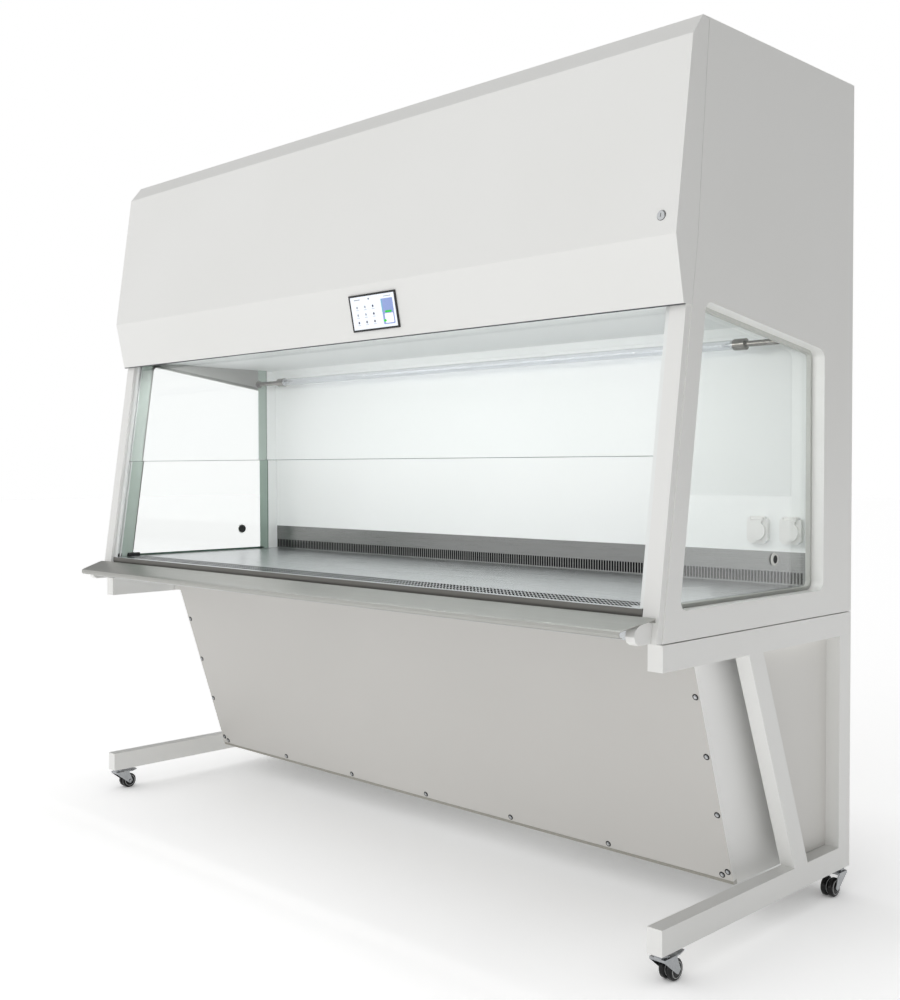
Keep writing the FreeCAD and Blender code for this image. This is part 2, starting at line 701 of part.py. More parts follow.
def corner_edges(points):
    """Test for edges along X at the given corners."""
    corners = [(size_of(across), size_of(up)) for across, up in points]

    def wanted(edge):
        ends = edge.Vertexes
        if len(ends) != 2 or abs(ends[0].X - ends[1].X) < 1:
            return False
        return any(abs(ends[0].Y - y) < 0.01 and abs(ends[0].Z - z) < 0.01 for y, z in corners)
    return wanted


def size_of(text):
    """The value of a formula, worked out by the sheet."""
    probe = doc.getObject("Probe") or doc.addObject("App::FeaturePython", "Probe")
    if "value" not in probe.PropertiesList:
        probe.addProperty("App::PropertyFloat", "value")
    bind(probe, "value", text)
    probe.recompute()
    return probe.value


def side_panels():
    """One plate with a window, its front post and an ear for the cover's hinge pin."""
    body = new_body("side_plate")
    top = "(cabinet_top - sheet)"
    outline = [("-skin_foot", cabinet_foot), ("0", cabinet_foot), ("0", top), ("-skin_head", top),
               (front_line("hood_start"), "hood_start")]
    window = side_window()
    pad(body, "YZ_Plane", [outline, window], inner, "side_wall")
    round_edges(body, "window_radius", corner_edges(window))
    post = [(front_line(cabinet_foot, "-post_proud"), cabinet_foot), ("-skin_foot", cabinet_foot),
            (front_line("hood_start"), "hood_start"),
            (front_line("hood_start", "-post_proud"), "hood_start")]
    pad(body, "YZ_Plane", [post], inner, "side_wall - skin_inset")
    hinge_height = "(cabinet_top - hinge_drop)"
    lug, half = "(hinge_pin_radius + lug_wall)", "(hinge_pin_radius + lug_wall) * 0.42"
    ear = [("-skin_head", f"{hinge_height} - {lug}"), (f"-hinge_reach + {lug}", f"{hinge_height} - {lug}"),
           (f"-hinge_reach + {lug}", f"{hinge_height} + {half}"),
           (f"-hinge_reach + {half}", f"{hinge_height} + {lug}"),
           (f"-hinge_reach - {half}", f"{hinge_height} + {lug}"),
           (f"-hinge_reach - {lug}", f"{hinge_height} + {half}"),
           (f"-hinge_reach - {lug}", f"{hinge_height} - lug_drop"),
           ("-skin_head", f"{hinge_height} - lug_drop")]
    pad(body, "YZ_Plane", [ear], inner, "side_wall - sheet - skin_inset")
    strike_low, strike_high = "(lock_height - strike_rise / 2)", "(lock_height + strike_rise / 2)"
    cover = "(fold_reach - (lock_height - hood_start) * ((fold_reach - shoulder_reach) / (shoulder_height - hood_start)) - strike_gap)"
    web = [("-skin_foot + (hood_start - stand_top) * tan(front_tilt) + 2", strike_low),
           (f"-{cover}", strike_low), (f"-{cover}", strike_high), ("-skin_head", strike_high)]
    pad(body, "YZ_Plane", [web], "half_width - skin_inset - sheet - 3", "3")
    plate = [(f"-{cover}", strike_low), (f"-{cover} + 3", strike_low),
             (f"-{cover} + 3", strike_high), (f"-{cover}", strike_high)]
    pad(body, "YZ_Plane", [plate], "lock_offset + strike_offset",
        "half_width - skin_inset - sheet - lock_offset - strike_offset")
    bores = [("circle", "-hinge_reach", hinge_height, "hinge_pin_radius + running_fit")]
    pocket(body, "YZ_Plane", bores, inner, "side_wall", False)
    shaft = [("circle", pulley_line("drive_height"), "drive_height", "shaft_radius + running_fit"),
             ("circle", pulley_line("idler_height"), "idler_height", "shaft_radius + running_fit")]
    pocket(body, "YZ_Plane", shaft, inner, "shaft_socket + play", False)
    pair_nodes(body, "side_panel")


def pulley_line(height):
    """Y of the pulley centres at a height, behind the sash."""
    return front_line(height, "sash_setback + sash_glass / cos(front_tilt) + belt_setback")


def side_glasses():
    """Pane inside the side panel, from the sash guide to the back wall."""
    body = new_body("pane")
    guide_back = "sash_setback + sash_glass / cos(front_tilt) + guide_wall + 2 * play"
    outline = [(front_line("worktop", guide_back), "worktop"), ("-chamber_back - play", "worktop"),
               ("-chamber_back - play", "ceiling"), (front_line("ceiling", guide_back), "ceiling")]
    hole = ("circle", "-port_reach", "port_height", "port_hole_radius")
    pad(body, "YZ_Plane", [outline, hole], glass_face, "pane")
    pair_nodes(body, "side_glass")


def window_seals():
    """Rubber frame in the window's reveal, against the glass."""
    body = new_body("seal")
    outer, opening = side_window("0"), side_window("seal_width")
    pad(body, "YZ_Plane", [outer, opening], inner, "seal_depth")
    rounding = "window_radius"
    round_edges(body, rounding, corner_edges(outer))
    round_edges(body, "window_radius - seal_width", corner_edges(opening))
    pair_group(body, "window_seals")


def side_ports():
    """Flanged grommet with a closed plug in each side glass."""
    body = new_body("port")
    flange = "4"
    hole = "port_hole_radius - play"
    outline = [("0", "0"), (f"pane + 2 * {flange}", "0"),
               (f"pane + 2 * {flange}", "port_radius - 2"), (f"pane + {flange} + 2", "port_radius"),
               (f"pane + {flange}", "port_radius"), (f"pane + {flange}", hole),
               (flange, hole), (flange, "port_radius"), ("2", "port_radius"), ("0", "port_radius - 2")]
    revolve(body, "XY_Plane", outline)
    bind(body, "Placement.Base.x", f"{glass_face} - {flange}")
    bind(body, "Placement.Base.y", "-port_reach")
    bind(body, "Placement.Base.z", "port_height")
    pair_group(body, "side_ports")


def rear_panel():
    """Outer back sheet with folded edges."""
    body = new_body("back_sheet")
    half = f"({inner} - play)"
    face = [(f"-{half}", cabinet_foot), (half, cabinet_foot),
            (half, "cabinet_top - sheet"), (f"-{half}", "cabinet_top - sheet")]
    pad(body, "XZ_Plane", [face], "0", "sheet")
    fold = "14"
    for low in (f"-{half}", f"{half} - sheet"):
        edge = [(low, cabinet_foot), (f"{low} + sheet", cabinet_foot),
                (f"{low} + sheet", "cabinet_top - sheet"), (low, "cabinet_top - sheet")]
        pad(body, "XZ_Plane", [edge], "0", fold)
    node(body, "rear_panel")


def top_cover():
    """Flat top sheet with exhaust slots and folded rear edge."""
    body = new_body("roof")
    face = [("-half_width", "-top_front_reach"), ("half_width", "-top_front_reach"),
            ("half_width", "0"), ("-half_width", "0")]
    pad(body, "XY_Plane", [face], "cabinet_top - sheet", "sheet")
    start = "(-(vent_count - 1) / 2 * vent_pitch)"
    slot = [(f"{start} - vent_width / 2", "-vent_middle - vent_length / 2"),
            (f"{start} + vent_width / 2", "-vent_middle - vent_length / 2"),
            (f"{start} + vent_width / 2", "-vent_middle + vent_length / 2"),
            (f"{start} - vent_width / 2", "-vent_middle + vent_length / 2")]
    vent = pocket(body, "XY_Plane", [slot], "cabinet_top", "2 * sheet")
    repeat(body, [vent], "H_Axis", "vent_pitch", "vent_count")
    node(body, "top_cover")


def front_cover():
    """Folded hood front with end cheeks, hinge pins and a hole for the lock."""
    body = new_body("hood_front")
    rise = "(shoulder_height - hood_start)"
    run = "(fold_reach - shoulder_reach)"
    outer = [("-crown_reach", "cabinet_top"), ("-shoulder_reach", "shoulder_height"),
             ("-fold_reach", "hood_start"), ("-lip_reach", "lip_height"),
             ("-lip_reach + lip_return", "lip_height")]
    inside = [("-lip_reach + lip_return", "lip_height + sheet"),
              ("-lip_reach + sheet", "lip_height + sheet"),
              ("-fold_reach + sheet", "hood_start"),
              ("-shoulder_reach + sheet", "shoulder_height - sheet / 2"),
              ("-crown_reach + sheet * 1.25", "cabinet_top")]
    pad(body, "YZ_Plane", [outer + inside], "-half_width", "2 * half_width")
    cheek = outer[:4] + [(front_line("lip_height", "-cheek_gap"), "lip_height"),
                         (front_line("hood_start", "-cheek_gap"), "hood_start"),
                         ("-skin_head - cheek_gap", "cabinet_top - sheet - 2 * play"),
                         ("-top_front_reach - cheek_gap", "cabinet_top - sheet - 2 * play"),
                         ("-top_front_reach - 2 * cheek_gap", "cabinet_top")]
    hinge_height = "(cabinet_top - hinge_drop)"
    pin = ("circle", "-hinge_reach", hinge_height, "hinge_pin_radius")
    pad(body, "YZ_Plane", [cheek], "half_width - sheet", "sheet")
    pad(body, "YZ_Plane", [cheek], "-half_width", "sheet")
    pad(body, "YZ_Plane", [pin], "half_width - sheet - hinge_pin_length", "hinge_pin_length + sheet / 2")
    pad(body, "YZ_Plane", [pin], "-half_width + sheet / 2", "hinge_pin_length + sheet / 2")
    along = f"((lock_height - hood_start) * {run} / {rise})"
    hole = [("circle", "lock_offset", "lock_height", "lock_barrel_radius + play + running_fit")]
    pocket(body, "XZ_Plane", hole, f"fold_reach - {along} + 6", "12")
    node(body, "front_cover")


# Lock and display on the front cover

def lock_cylinder():
    """Round key lock with its locking tongue behind the cover."""
    body = new_body("lock")
    revolve(body, "XY_Plane", [("-lock_barrel_length", "0"), ("lock_rosette", "0"),
                               ("lock_rosette", "lock_radius - 1.5"),
                               ("lock_rosette - 1.5", "lock_radius"), ("play", "lock_radius"),
                               ("play", "lock_barrel_radius"),
                               ("-lock_barrel_length", "lock_barrel_radius")])
    tongue = [("-lock_barrel_length", "-6"), ("-lock_barrel_length + 3", "-6"),
              ("-lock_barrel_length + 3", "32"), ("-lock_barrel_length", "32")]
    pad(body, "XY_Plane", [tongue], "-6", "12")
    slot = [("lock_rosette - 1.2", "-4.5"), ("lock_rosette + 1", "-4.5"),
            ("lock_rosette + 1", "4.5"), ("lock_rosette - 1.2", "4.5")]
    pocket(body, "XY_Plane", [slot], "1", "2")
    lean = math.degrees(math.atan((size("fold_reach") - size("shoulder_reach"))
                                  / (size("shoulder_height") - size("hood_start"))))
    body.Placement.Rotation = FreeCAD.Rotation(FreeCAD.Vector(1, 0, 0), -lean).multiply(
        FreeCAD.Rotation(FreeCAD.Vector(0, 0, 1), -90)).multiply(
        FreeCAD.Rotation(FreeCAD.Vector(1, 0, 0), -90))
    slope = "((fold_reach - shoulder_reach) / (shoulder_height - hood_start))"
    bind(body, "Placement.Base.x", "lock_offset")
    bind(body, "Placement.Base.z", "lock_height")
    level[body.Name] = f"-fold_reach + (lock_height - hood_start) * {slope}"
    node(body, "lock_cylinder")


def display():
    """Flat frame and screen on the lower face of the front cover."""
    lean = math.degrees(math.atan((size("fold_reach") - size("lip_reach"))
                                  / (size("hood_start") - size("lip_height"))))
    face = "(-fold_reach + (hood_start - display_height) * (fold_reach - lip_reach)" \
           " / (hood_start - lip_height))"

    outer = rectangle("-display_width / 2", "display_width / 2", "-display_rise / 2", "display_rise / 2")
    inside = rectangle("-screen_width / 2", "screen_width / 2", "-screen_rise / 2", "screen_rise / 2")
    frame = new_body("bezel")
    pad(frame, "XZ_Plane", [outer], "0", "display_depth")
    pocket(frame, "XZ_Plane", [inside], "display_depth", "2")
    screen = new_body("screen")
    pad(screen, "XZ_Plane", [inside], "display_depth - 2", "1.5")
    for body, label in ((frame, "display_bezel"), (screen, "display_screen")):
        body.Placement.Rotation = FreeCAD.Rotation(FreeCAD.Vector(1, 0, 0), lean)
        bind(body, "Placement.Base.x", "display_offset")
        bind(body, "Placement.Base.z", "display_height")
        level[body.Name] = face
        node(body, label)


# Work chamber

def back_wall():
    """White inner wall above the slotted strip."""
    half = f"({inner} - play)"
    wall = block("inner_wall", (f"-{half}", "-chamber_back", "rear_strip_top"),
                 (half, "-chamber_back + sheet", "ceiling + sheet + filter_height"))
    node(wall, "back_wall")


def rear_grille():
    """Steel strip with upright slots behind the work surface."""
    body = new_body("slotted_strip")
    half = f"({inner} - play)"
    low = "(worktop - sheet)"
    face = [(f"-{half}", low), (half, low), (half, "rear_strip_top"), (f"-{half}", "rear_strip_top")]
    pad(body, "XZ_Plane", [face], "chamber_back - sheet", "sheet")
    start = "(-(rear_slot_count - 1) / 2 * rear_slot_pitch)"
    foot = "(worktop + rear_slot_rise)"
    slot = [(f"{start} - rear_slot_width / 2", foot), (f"{start} + rear_slot_width / 2", foot),
            (f"{start} + rear_slot_width / 2", f"{foot} + rear_slot_length"),
            (f"{start} - rear_slot_width / 2", f"{foot} + rear_slot_length")]
    opening = pocket(body, "XZ_Plane", [slot], "chamber_back + 1", "sheet + 2")
    repeat(body, [opening], "H_Axis", "rear_slot_pitch", "rear_slot_count")
    node(body, "rear_grille")


def ceiling():
    """Diffuser sheet over the chamber and the stepped trim at its back."""
    half = f"({inner} - play)"
    front = front_line("ceiling", "sash_setback + sash_glass / cos(front_tilt) + 18")
    diffuser = block("diffuser", (f"-{half}", front, "ceiling"),
                     (half, "-chamber_back", "ceiling + sheet"))
    node(diffuser, "ceiling_diffuser")
    body = new_body("cornice")
    step = "trim_depth / 2"
    profile = [("-chamber_back", "ceiling"), ("-chamber_back - trim_depth", "ceiling"),
               ("-chamber_back - trim_depth", "ceiling - trim_drop / 2"),
               (f"-chamber_back - {step}", "ceiling - trim_drop / 2"),
               (f"-chamber_back - {step}", "ceiling - trim_drop"),
               ("-chamber_back", "ceiling - trim_drop")]
    pad(body, "YZ_Plane", [profile], f"-{glass_face} + side_gap", f"2 * ({glass_face} - side_gap)")
    node(body, "ceiling_trim")


def worktop_trays():
    """Folded trays that lift out, side by side."""
    count = int(size("tray_count"))
    whole = f"(2 * ({glass_face} - side_gap))"
    width = f"(({whole} - (tray_count - 1) * tray_gap) / tray_count)"
    for i in range(count):
        body = new_body(f"tray_{i + 1}")
        left = f"(-{whole} / 2 + {i} * ({width} + tray_gap))"
        right = f"({left} + {width})"
        edges = (left, right, "(-grille_back + tray_gap)", "(-chamber_back - play)")
        pad(body, "XY_Plane", [rectangle(*edges)], "worktop - sheet", "sheet")
        skirt = [rectangle(*edges, "rib_width + 1"), rectangle(*edges, "rib_width + 1 + sheet")]
        pad(body, "XY_Plane", skirt, "worktop - sheet - tray_skirt", "tray_skirt")
        node(body, f"worktop_tray_{i + 1}")


def front_grille():
    """Folded strip with two staggered rows of slots and a front sill."""
    body = new_body("front_strip")
    half = f"({glass_face} - side_gap)"
    low = "(worktop - sheet)"
    profile = [("-grille_back", "worktop"), ("-grille_front", "worktop"),
               ("-grille_front", "worktop - sill_drop"), ("-grille_front + sheet", "worktop - sill_drop"),
               ("-grille_front + sheet", low), ("-grille_back", low)]
    pad(body, "YZ_Plane", [profile], f"-{half}", f"2 * {half}")
    rows = []
    for row in range(int(size("front_slot_rows"))):
        start = f"(-(front_slot_count - 0.5) / 2 * front_slot_pitch + {row} * front_slot_pitch / 2)"
        far = f"(-grille_back - front_slot_inset - {row} * front_slot_row_pitch)"
        slant = "(front_slot_width * 0.6)"
        rows.append([(start, far), (f"{start} + front_slot_width", far),
                     (f"{start} + front_slot_width - {slant}", f"{far} - front_slot_length"),
                     (f"{start} - {slant}", f"{far} - front_slot_length")])
    slots = pocket(body, "XY_Plane", rows, "worktop + 1", "sheet + 2")
    repeat(body, [slots], "H_Axis", "front_slot_pitch", "front_slot_count")
    node(body, "front_grille")


def sump_pan():
    """Pan under the trays with two ribs that carry them."""
    body = new_body("sump")
    half = f"({inner} - play)"
    rim = "(worktop - sheet)"
    edges = (f"-{half}", half, "(-grille_front + sheet + play)", "(-chamber_back + sheet)")
    wall_height = f"{rim} - {cabinet_foot} - sheet"
    pad(body, "XY_Plane", [rectangle(*edges)], cabinet_foot, "sheet")
    pad(body, "XY_Plane", [rectangle(*edges), rectangle(*edges, "sheet")],
        f"{cabinet_foot} + sheet", wall_height)
    for middle in ("-grille_back", "-chamber_back - rib_width / 2"):
        rib = rectangle(f"-{half} + sheet", f"{half} - sheet",
                        f"{middle} - rib_width / 2", f"{middle} + rib_width / 2")
        pad(body, "XY_Plane", [rib], f"{cabinet_foot} + sheet", wall_height)
    node(body, "sump_pan")


def armrest():
    """Rolled sheet rest along the front, and the brackets that carry it."""
    body = new_body("rest")
    nose_back = "(-overall_depth + armrest_nose)"
    fall = "(armrest_height - armrest_drop)"
    profile = [("-armrest_back", "armrest_height"), (nose_back, fall),
               ("-overall_depth + armrest_nose * 0.3", f"{fall} - armrest_nose * 0.3"),
               ("-overall_depth", f"{fall} - armrest_nose"),
               ("-overall_depth + armrest_nose * 0.3", f"{fall} - armrest_nose * 1.7"),
               (nose_back, f"{fall} - armrest_nose * 2"),
               (nose_back, f"{fall} - armrest_nose * 2 + sheet"),
               ("-overall_depth + armrest_nose * 0.3 + sheet * 0.7",
                f"{fall} - armrest_nose * 1.7 + sheet * 0.7"),
               ("-overall_depth + sheet", f"{fall} - armrest_nose"),
               ("-overall_depth + armrest_nose * 0.3 + sheet * 0.7",
                f"{fall} - armrest_nose * 0.3 - sheet * 0.7"),
               (nose_back, f"{fall} - sheet"),
               ("-armrest_back - sheet", "armrest_height - sheet * 1.4"),
               ("-armrest_back - sheet", "armrest_height - 10"),
               ("-armrest_back", "armrest_height - 10")]
    pad(body, "YZ_Plane", [profile], "-armrest_half", "2 * armrest_half")
    corners = [[(f"{side}(armrest_half + 1)", "-armrest_back - 2 * sheet"),
                (f"{side}(armrest_half + 1)", "-overall_depth - 1"),
                (f"{side}(armrest_half - armrest_corner)", "-overall_depth - 1")] for side in ("", "-")]
    pocket(body, "XY_Plane", corners, "armrest_height + 1", "2 * armrest_height - 2 * bracket_foot")
    node(body, "armrest")
    slope = "(armrest_drop / (overall_depth - armrest_nose - armrest_back))"
    bracket = new_body("bracket")
    head = f"(armrest_height - sheet * 1.4 - play - (bracket_reach - armrest_back) * {slope})"
    foot = "bracket_foot"
    rear_foot = front_line(foot, "-post_proud")
    rear_head_height = "(armrest_height - 10 - play)"
    middle = f"(({head} + {foot}) / 2)"
    outline = [(rear_foot, foot), (front_line(rear_head_height, "-post_proud"), rear_head_height),
               ("-armrest_back - sheet - play", rear_head_height),
               ("-armrest_back - sheet - play", "armrest_height - sheet * 1.4 - play - 1"),
               ("-bracket_reach + 16", f"{head} + 2.2"), ("-bracket_reach + 5", f"{head} - 6"),
               ("-bracket_reach", middle), ("-bracket_reach + 5", f"{foot} + 7"),
               ("-bracket_reach + 16", foot)]
    pad(bracket, "YZ_Plane", [outline], f"{inner} + skin_inset", "bracket_width")
    pair_group(bracket, "armrest_brackets")


# Sash and its drive

def sash():
    """Glass sash that slides along the slope, and the clamps on its top corners."""
    top = "(sash_edge + sash_rise)"
    front, back = "sash_setback", "sash_setback + sash_glass / cos(front_tilt)"
    body = new_body("sash_pane")
    profile = [(front_line("sash_edge", front), "sash_edge"), (front_line("sash_edge", back), "sash_edge"),
               (front_line(top, back), top), (front_line(top, front), top)]
    pad(body, "YZ_Plane", [profile], "-sash_half", "2 * sash_half")
    node(body, "sash_glass")
    clamp = new_body("clamp")
    reach = "(belt_setback - (pulley_radius + belt_thickness + 2 * play) / cos(front_tilt))"
    low = f"({top} - clamp_rise)"
    grip = [(front_line(low, back), low), (front_line(low, f"{back} + {reach}"), low),
            (front_line(top, f"{back} + {reach}"), top), (front_line(top, back), top)]
    pad(clamp, "YZ_Plane", [grip], "belt_offset - clamp_width / 2", "clamp_width")
    pair_group(clamp, "sash_clamps")


def sash_guides():
    """Channels that hold the edges of the sash."""
    body = new_body("channel")
    front = "sash_setback - 2 * play"
    back = "sash_setback + sash_glass / cos(front_tilt) + 2 * play"

    def band(near, far):
        return [(front_line("worktop + play", near), "worktop + play"),
                (front_line("worktop + play", far), "worktop + play"),
                (front_line("guide_top", far), "guide_top"), (front_line("guide_top", near), "guide_top")]

    whole_front, whole_back = f"{front} - guide_wall", f"{back} + guide_wall - 2 * play"
    pad(body, "YZ_Plane", [band(whole_front, whole_back)], f"{inner} - guide_web", "guide_web")
    for near, far in ((whole_front, front), (back, whole_back)):
        pad(body, "YZ_Plane", [band(near, far)], f"{inner} - guide_web - guide_flange", "guide_flange")
    pair_group(body, "sash_guides")


def belt_drive():
    """Toothed belt loops, the shaft that drives them and their idlers."""
    tall = "((drive_height - idler_height) / cos(front_tilt))"
    lean = -size("front_tilt")
    inside = "(pulley_radius + play)"
    outside = "(pulley_radius + play + belt_thickness)"

    def race(name, radius):
        low = rod(name + "_low", ("0", "0", "0"), "x", radius, "belt_width")
        high = rod(name + "_high", ("0", "0", tall), "x", radius, "belt_width")
        run = block(name + "_run", ("0", f"-{radius}", "0"), ("belt_width", radius, tall))
        return fuse(name, [low, high, run])

    loop = cut("belt_loop", race("belt_outside", outside), race("belt_inside", inside))
    loop.Placement.Rotation = FreeCAD.Rotation(FreeCAD.Vector(1, 0, 0), lean)
    bind(loop, "Placement.Base.x", "belt_offset - belt_width / 2")
    bind(loop, "Placement.Base.y", pulley_line("idler_height"))
    bind(loop, "Placement.Base.z", "idler_height")
    pair_group(loop, "drive_belts")

    def pulley(name, height, stub_inside):
        wheel = rod(name + "_wheel", ("belt_offset - belt_width / 2 - 2", pulley_line(height), height), "x",
                    "pulley_radius", "belt_width + 4")
        shaft = rod(name + "_shaft", (stub_inside, pulley_line(height), height), "x", "shaft_radius",
                    f"{inner} + shaft_socket - ({stub_inside})")
        return fuse(name, [wheel, shaft])

    right = pulley("drive_pulley", "drive_height", "-0.01")
    shaft = fuse("shaft_whole", [right, mirrored("drive_pulley_mirror", right)])
    node(shaft, "sash_drive_shaft")
    pair_group(pulley("idler_pulley", "idler_height", "belt_offset - belt_width / 2 - 6"), "idler_pulleys")


def drive_motor():
    """Gear motor around the drive shaft, hung from the top cover."""
    across = "(motor_offset - motor_length / 2)"
    body = rod("motor_barrel", (across, pulley_line("drive_height"), "drive_height"), "x",
               "motor_radius", "motor_length")
    hanger = block("motor_hanger", (f"{across} + 20", f"{pulley_line('drive_height')} - 18", "drive_height"),
                   (f"{across} + motor_length - 20", f"{pulley_line('drive_height')} + 18",
                    "cabinet_top - sheet"))
    bore = rod("motor_bore", (f"{across} - 1", pulley_line("drive_height"), "drive_height"), "x",
               "shaft_radius + running_fit", "motor_length + 2")
    node(cut("motor_bored", fuse("motor_solid", [body, hanger]), bore), "sash_motor")


# Fans and filters

def filters():
    """Framed filter packs for the supply and the exhaust air."""
    base = "(ceiling + sheet)"

    def pack(name, half, front, back, foot, height):
        body = new_body(name)
        edges = (f"-{half}", half, f"-{front}", f"-{back}")
        recess = rectangle(*edges, "filter_frame")
        pad(body, "XY_Plane", [rectangle(*edges)], foot, height)
        pocket(body, "XY_Plane", [recess], f"{foot} + {height}", "pleat_recess")
        pocket(body, "XY_Plane", [recess], foot, "pleat_recess", False)
        return body

    node(pack("supply_pack", "filter_half", "filter_front", "filter_back", base, "filter_height"),
         "supply_filter")
    exhaust_foot = "(cabinet_top - sheet - exhaust_height)"
    exhaust_front = "(vent_middle + vent_length / 2 + 40)"
    exhaust_back = "(vent_middle - vent_length / 2 - 40)"
    node(pack("exhaust_pack", "exhaust_half", exhaust_front, exhaust_back, exhaust_foot,
              "exhaust_height"), "exhaust_filter")


def fan_deck():
    """Deck that carries the blowers, with its folded front wall."""
    body = new_body("deck")
    low = "(ceiling + sheet + filter_height)"
    gap = "sash_setback + sash_glass / cos(front_tilt) + belt_setback + pulley_radius + 12"
    top = "(guide_top - 60)"
    profile = [("-chamber_back + sheet", low), (front_line(low, gap), low),
               (front_line(top, gap), top), (front_line(top, f"{gap} + sheet"), top),
               (front_line(f"{low} + sheet", f"{gap} + sheet"), f"{low} + sheet"),
               ("-chamber_back + sheet", f"{low} + sheet")]
    pad(body, "YZ_Plane", [profile], f"-{inner} + play", f"2 * ({inner} - play)")
    holes = [("circle", f"{sign}blower_offset", "-blower_reach", "inlet_radius") for sign in ("", "-")]
    pocket(body, "XY_Plane", holes, f"{low} + sheet + 1", "sheet + 2")
    node(body, "fan_deck")


def blowers():
    """Fan housings with a motor on a spider, and the impellers inside them."""
    foot = "(ceiling + sheet + filter_height + sheet)"
    top = f"({foot} + blower_height)"
    seat = f"({foot} + blower_wall + 20)"
    motor_top = f"({seat} + fan_motor_height)"
    housing = new_body("volute")
    ring_out = ("circle", "blower_offset", "-blower_reach", "blower_radius")
    ring_in = ("circle", "blower_offset", "-blower_reach", "blower_radius - blower_wall")
    inlet = ("circle", "blower_offset", "-blower_reach", "inlet_radius")
    motor = ("circle", "blower_offset", "-blower_reach", "fan_motor_radius")
    pad(housing, "XY_Plane", [ring_out, inlet], foot, "blower_wall")
    pad(housing, "XY_Plane", [ring_out, ring_in], foot, "blower_height")
    pad(housing, "XY_Plane", [ring_out, inlet], f"{top} - blower_wall", "blower_wall")
    arm = [("blower_offset - blower_radius + 1", "-blower_reach - 12"),
           ("blower_offset + blower_radius - 1", "-blower_reach - 12"),
           ("blower_offset + blower_radius - 1", "-blower_reach + 12"),
           ("blower_offset - blower_radius + 1", "-blower_reach + 12")]
    pad(housing, "XY_Plane", [arm], f"{foot} + blower_wall", "20")
    pad(housing, "XY_Plane", [motor], seat, "fan_motor_height")
    shaft = [("circle", "blower_offset", "-blower_reach", "fan_shaft_radius + running_fit")]
    pocket(housing, "XY_Plane", shaft, motor_top, "fan_shaft_depth + play")
    pair_group(housing, "blower_housings")
    for side, sign in (("left", "-"), ("right", "")):
        wheel = new_body("impeller_" + side + "_wheel")
        hub = ("circle", "0", "0", "fan_motor_radius / 2")
        disc = ("circle", "0", "0", "impeller_radius")
        rim = ("circle", "0", "0", "impeller_radius - blade_length")
        pad(wheel, "XY_Plane", [disc], "play * 4", "blower_wall")
        pad(wheel, "XY_Plane", [hub], "play * 4", "blade_height / 2")
        pad(wheel, "XY_Plane", [("circle", "0", "0", "fan_shaft_radius")], "-fan_shaft_depth",
            "fan_shaft_depth + 4 * play + 1")
        blade = [("impeller_radius - blade_length", "-blade_thickness / 2"),
                 ("impeller_radius - 1", "-blade_thickness / 2 + 16"),
                 ("impeller_radius - 1", "blade_thickness / 2 + 16"),
                 ("impeller_radius - blade_length", "blade_thickness / 2")]
        vane = pad(wheel, "XY_Plane", [blade], "play * 4 + blower_wall / 2", "blade_height")
        ring = wheel.newObject("PartDesign::PolarPattern", wheel.Name + "_blades")
        ring.Originals = [vane]
        ring.Axis = (vane.Profile[0], ["N_Axis"])
        ring.Angle = 360
        bind(ring, "Occurrences", "impeller_blades")
        wheel.Tip = ring
        pad(wheel, "XY_Plane", [disc, rim], "play * 4 + blade_height", "blower_wall")
        bind(wheel, "Placement.Base.x", f"{sign}blower_offset")
        bind(wheel, "Placement.Base.z", motor_top)
        level[wheel.Name] = "-blower_reach"
        node(wheel, "impeller_" + side)


def hood_equipment():
    """Control box on the deck and the light at the front of the ceiling."""
    foot = "(ceiling + sheet + filter_height + sheet)"
    box = block("control_case", ("-control_box_length / 2", "-chamber_back - 40 - control_box_depth", foot),
                ("control_box_length / 2", "-chamber_back - 40", f"{foot} + control_box_height"))
    node(box, "control_box")
    front = front_line("ceiling", "sash_setback + sash_glass / cos(front_tilt) + 20")
    body = new_body("light")
    base = "(ceiling + sheet)"
    profile = [(front, base), (f"{front} + light_depth", base),
               (f"{front} + light_depth", f"{base} + light_height / 2"),
               (f"{front} + light_depth - 8", f"{base} + light_height"),
               (f"{front} + 8", f"{base} + light_height")]
    pad(body, "YZ_Plane", [profile], "-filter_half + 120", "2 * (filter_half - 120)")
    node(body, "work_light")


# Lamp and sockets

def germicidal_lamp():
    """Clear tube between two holders on the side glasses."""
    tube = rod("lamp_tube", ("-lamp_half + play", "-lamp_reach", "lamp_height"), "x", "lamp_radius",
               "2 * (lamp_half - play)")
    node(tube, "uv_tube")
    holder = new_body("holder")
    cup = "lamp_radius + play"
    reach = f"({glass_face} - lamp_half)"
    outline = [(f"-{reach}", "0"), ("0", "0"), ("0", "lamp_arm_radius + 5"), ("-5", "lamp_arm_radius + 5"),
               ("-5", "lamp_arm_radius"), (f"-{reach} + lamp_cap_length - lamp_cup_depth", "lamp_arm_radius"),
               (f"-{reach} + lamp_cap_length - lamp_cup_depth", "lamp_cap_radius"),
               (f"-{reach} - lamp_cup_depth", "lamp_cap_radius"), (f"-{reach} - lamp_cup_depth", cup),
               (f"-{reach}", cup)]
    revolve(holder, "XY_Plane", outline)
    bind(holder, "Placement.Base.x", glass_face)
    bind(holder, "Placement.Base.y", "-lamp_reach")
    bind(holder, "Placement.Base.z", "lamp_height")
    pair_group(holder, "uv_holders")


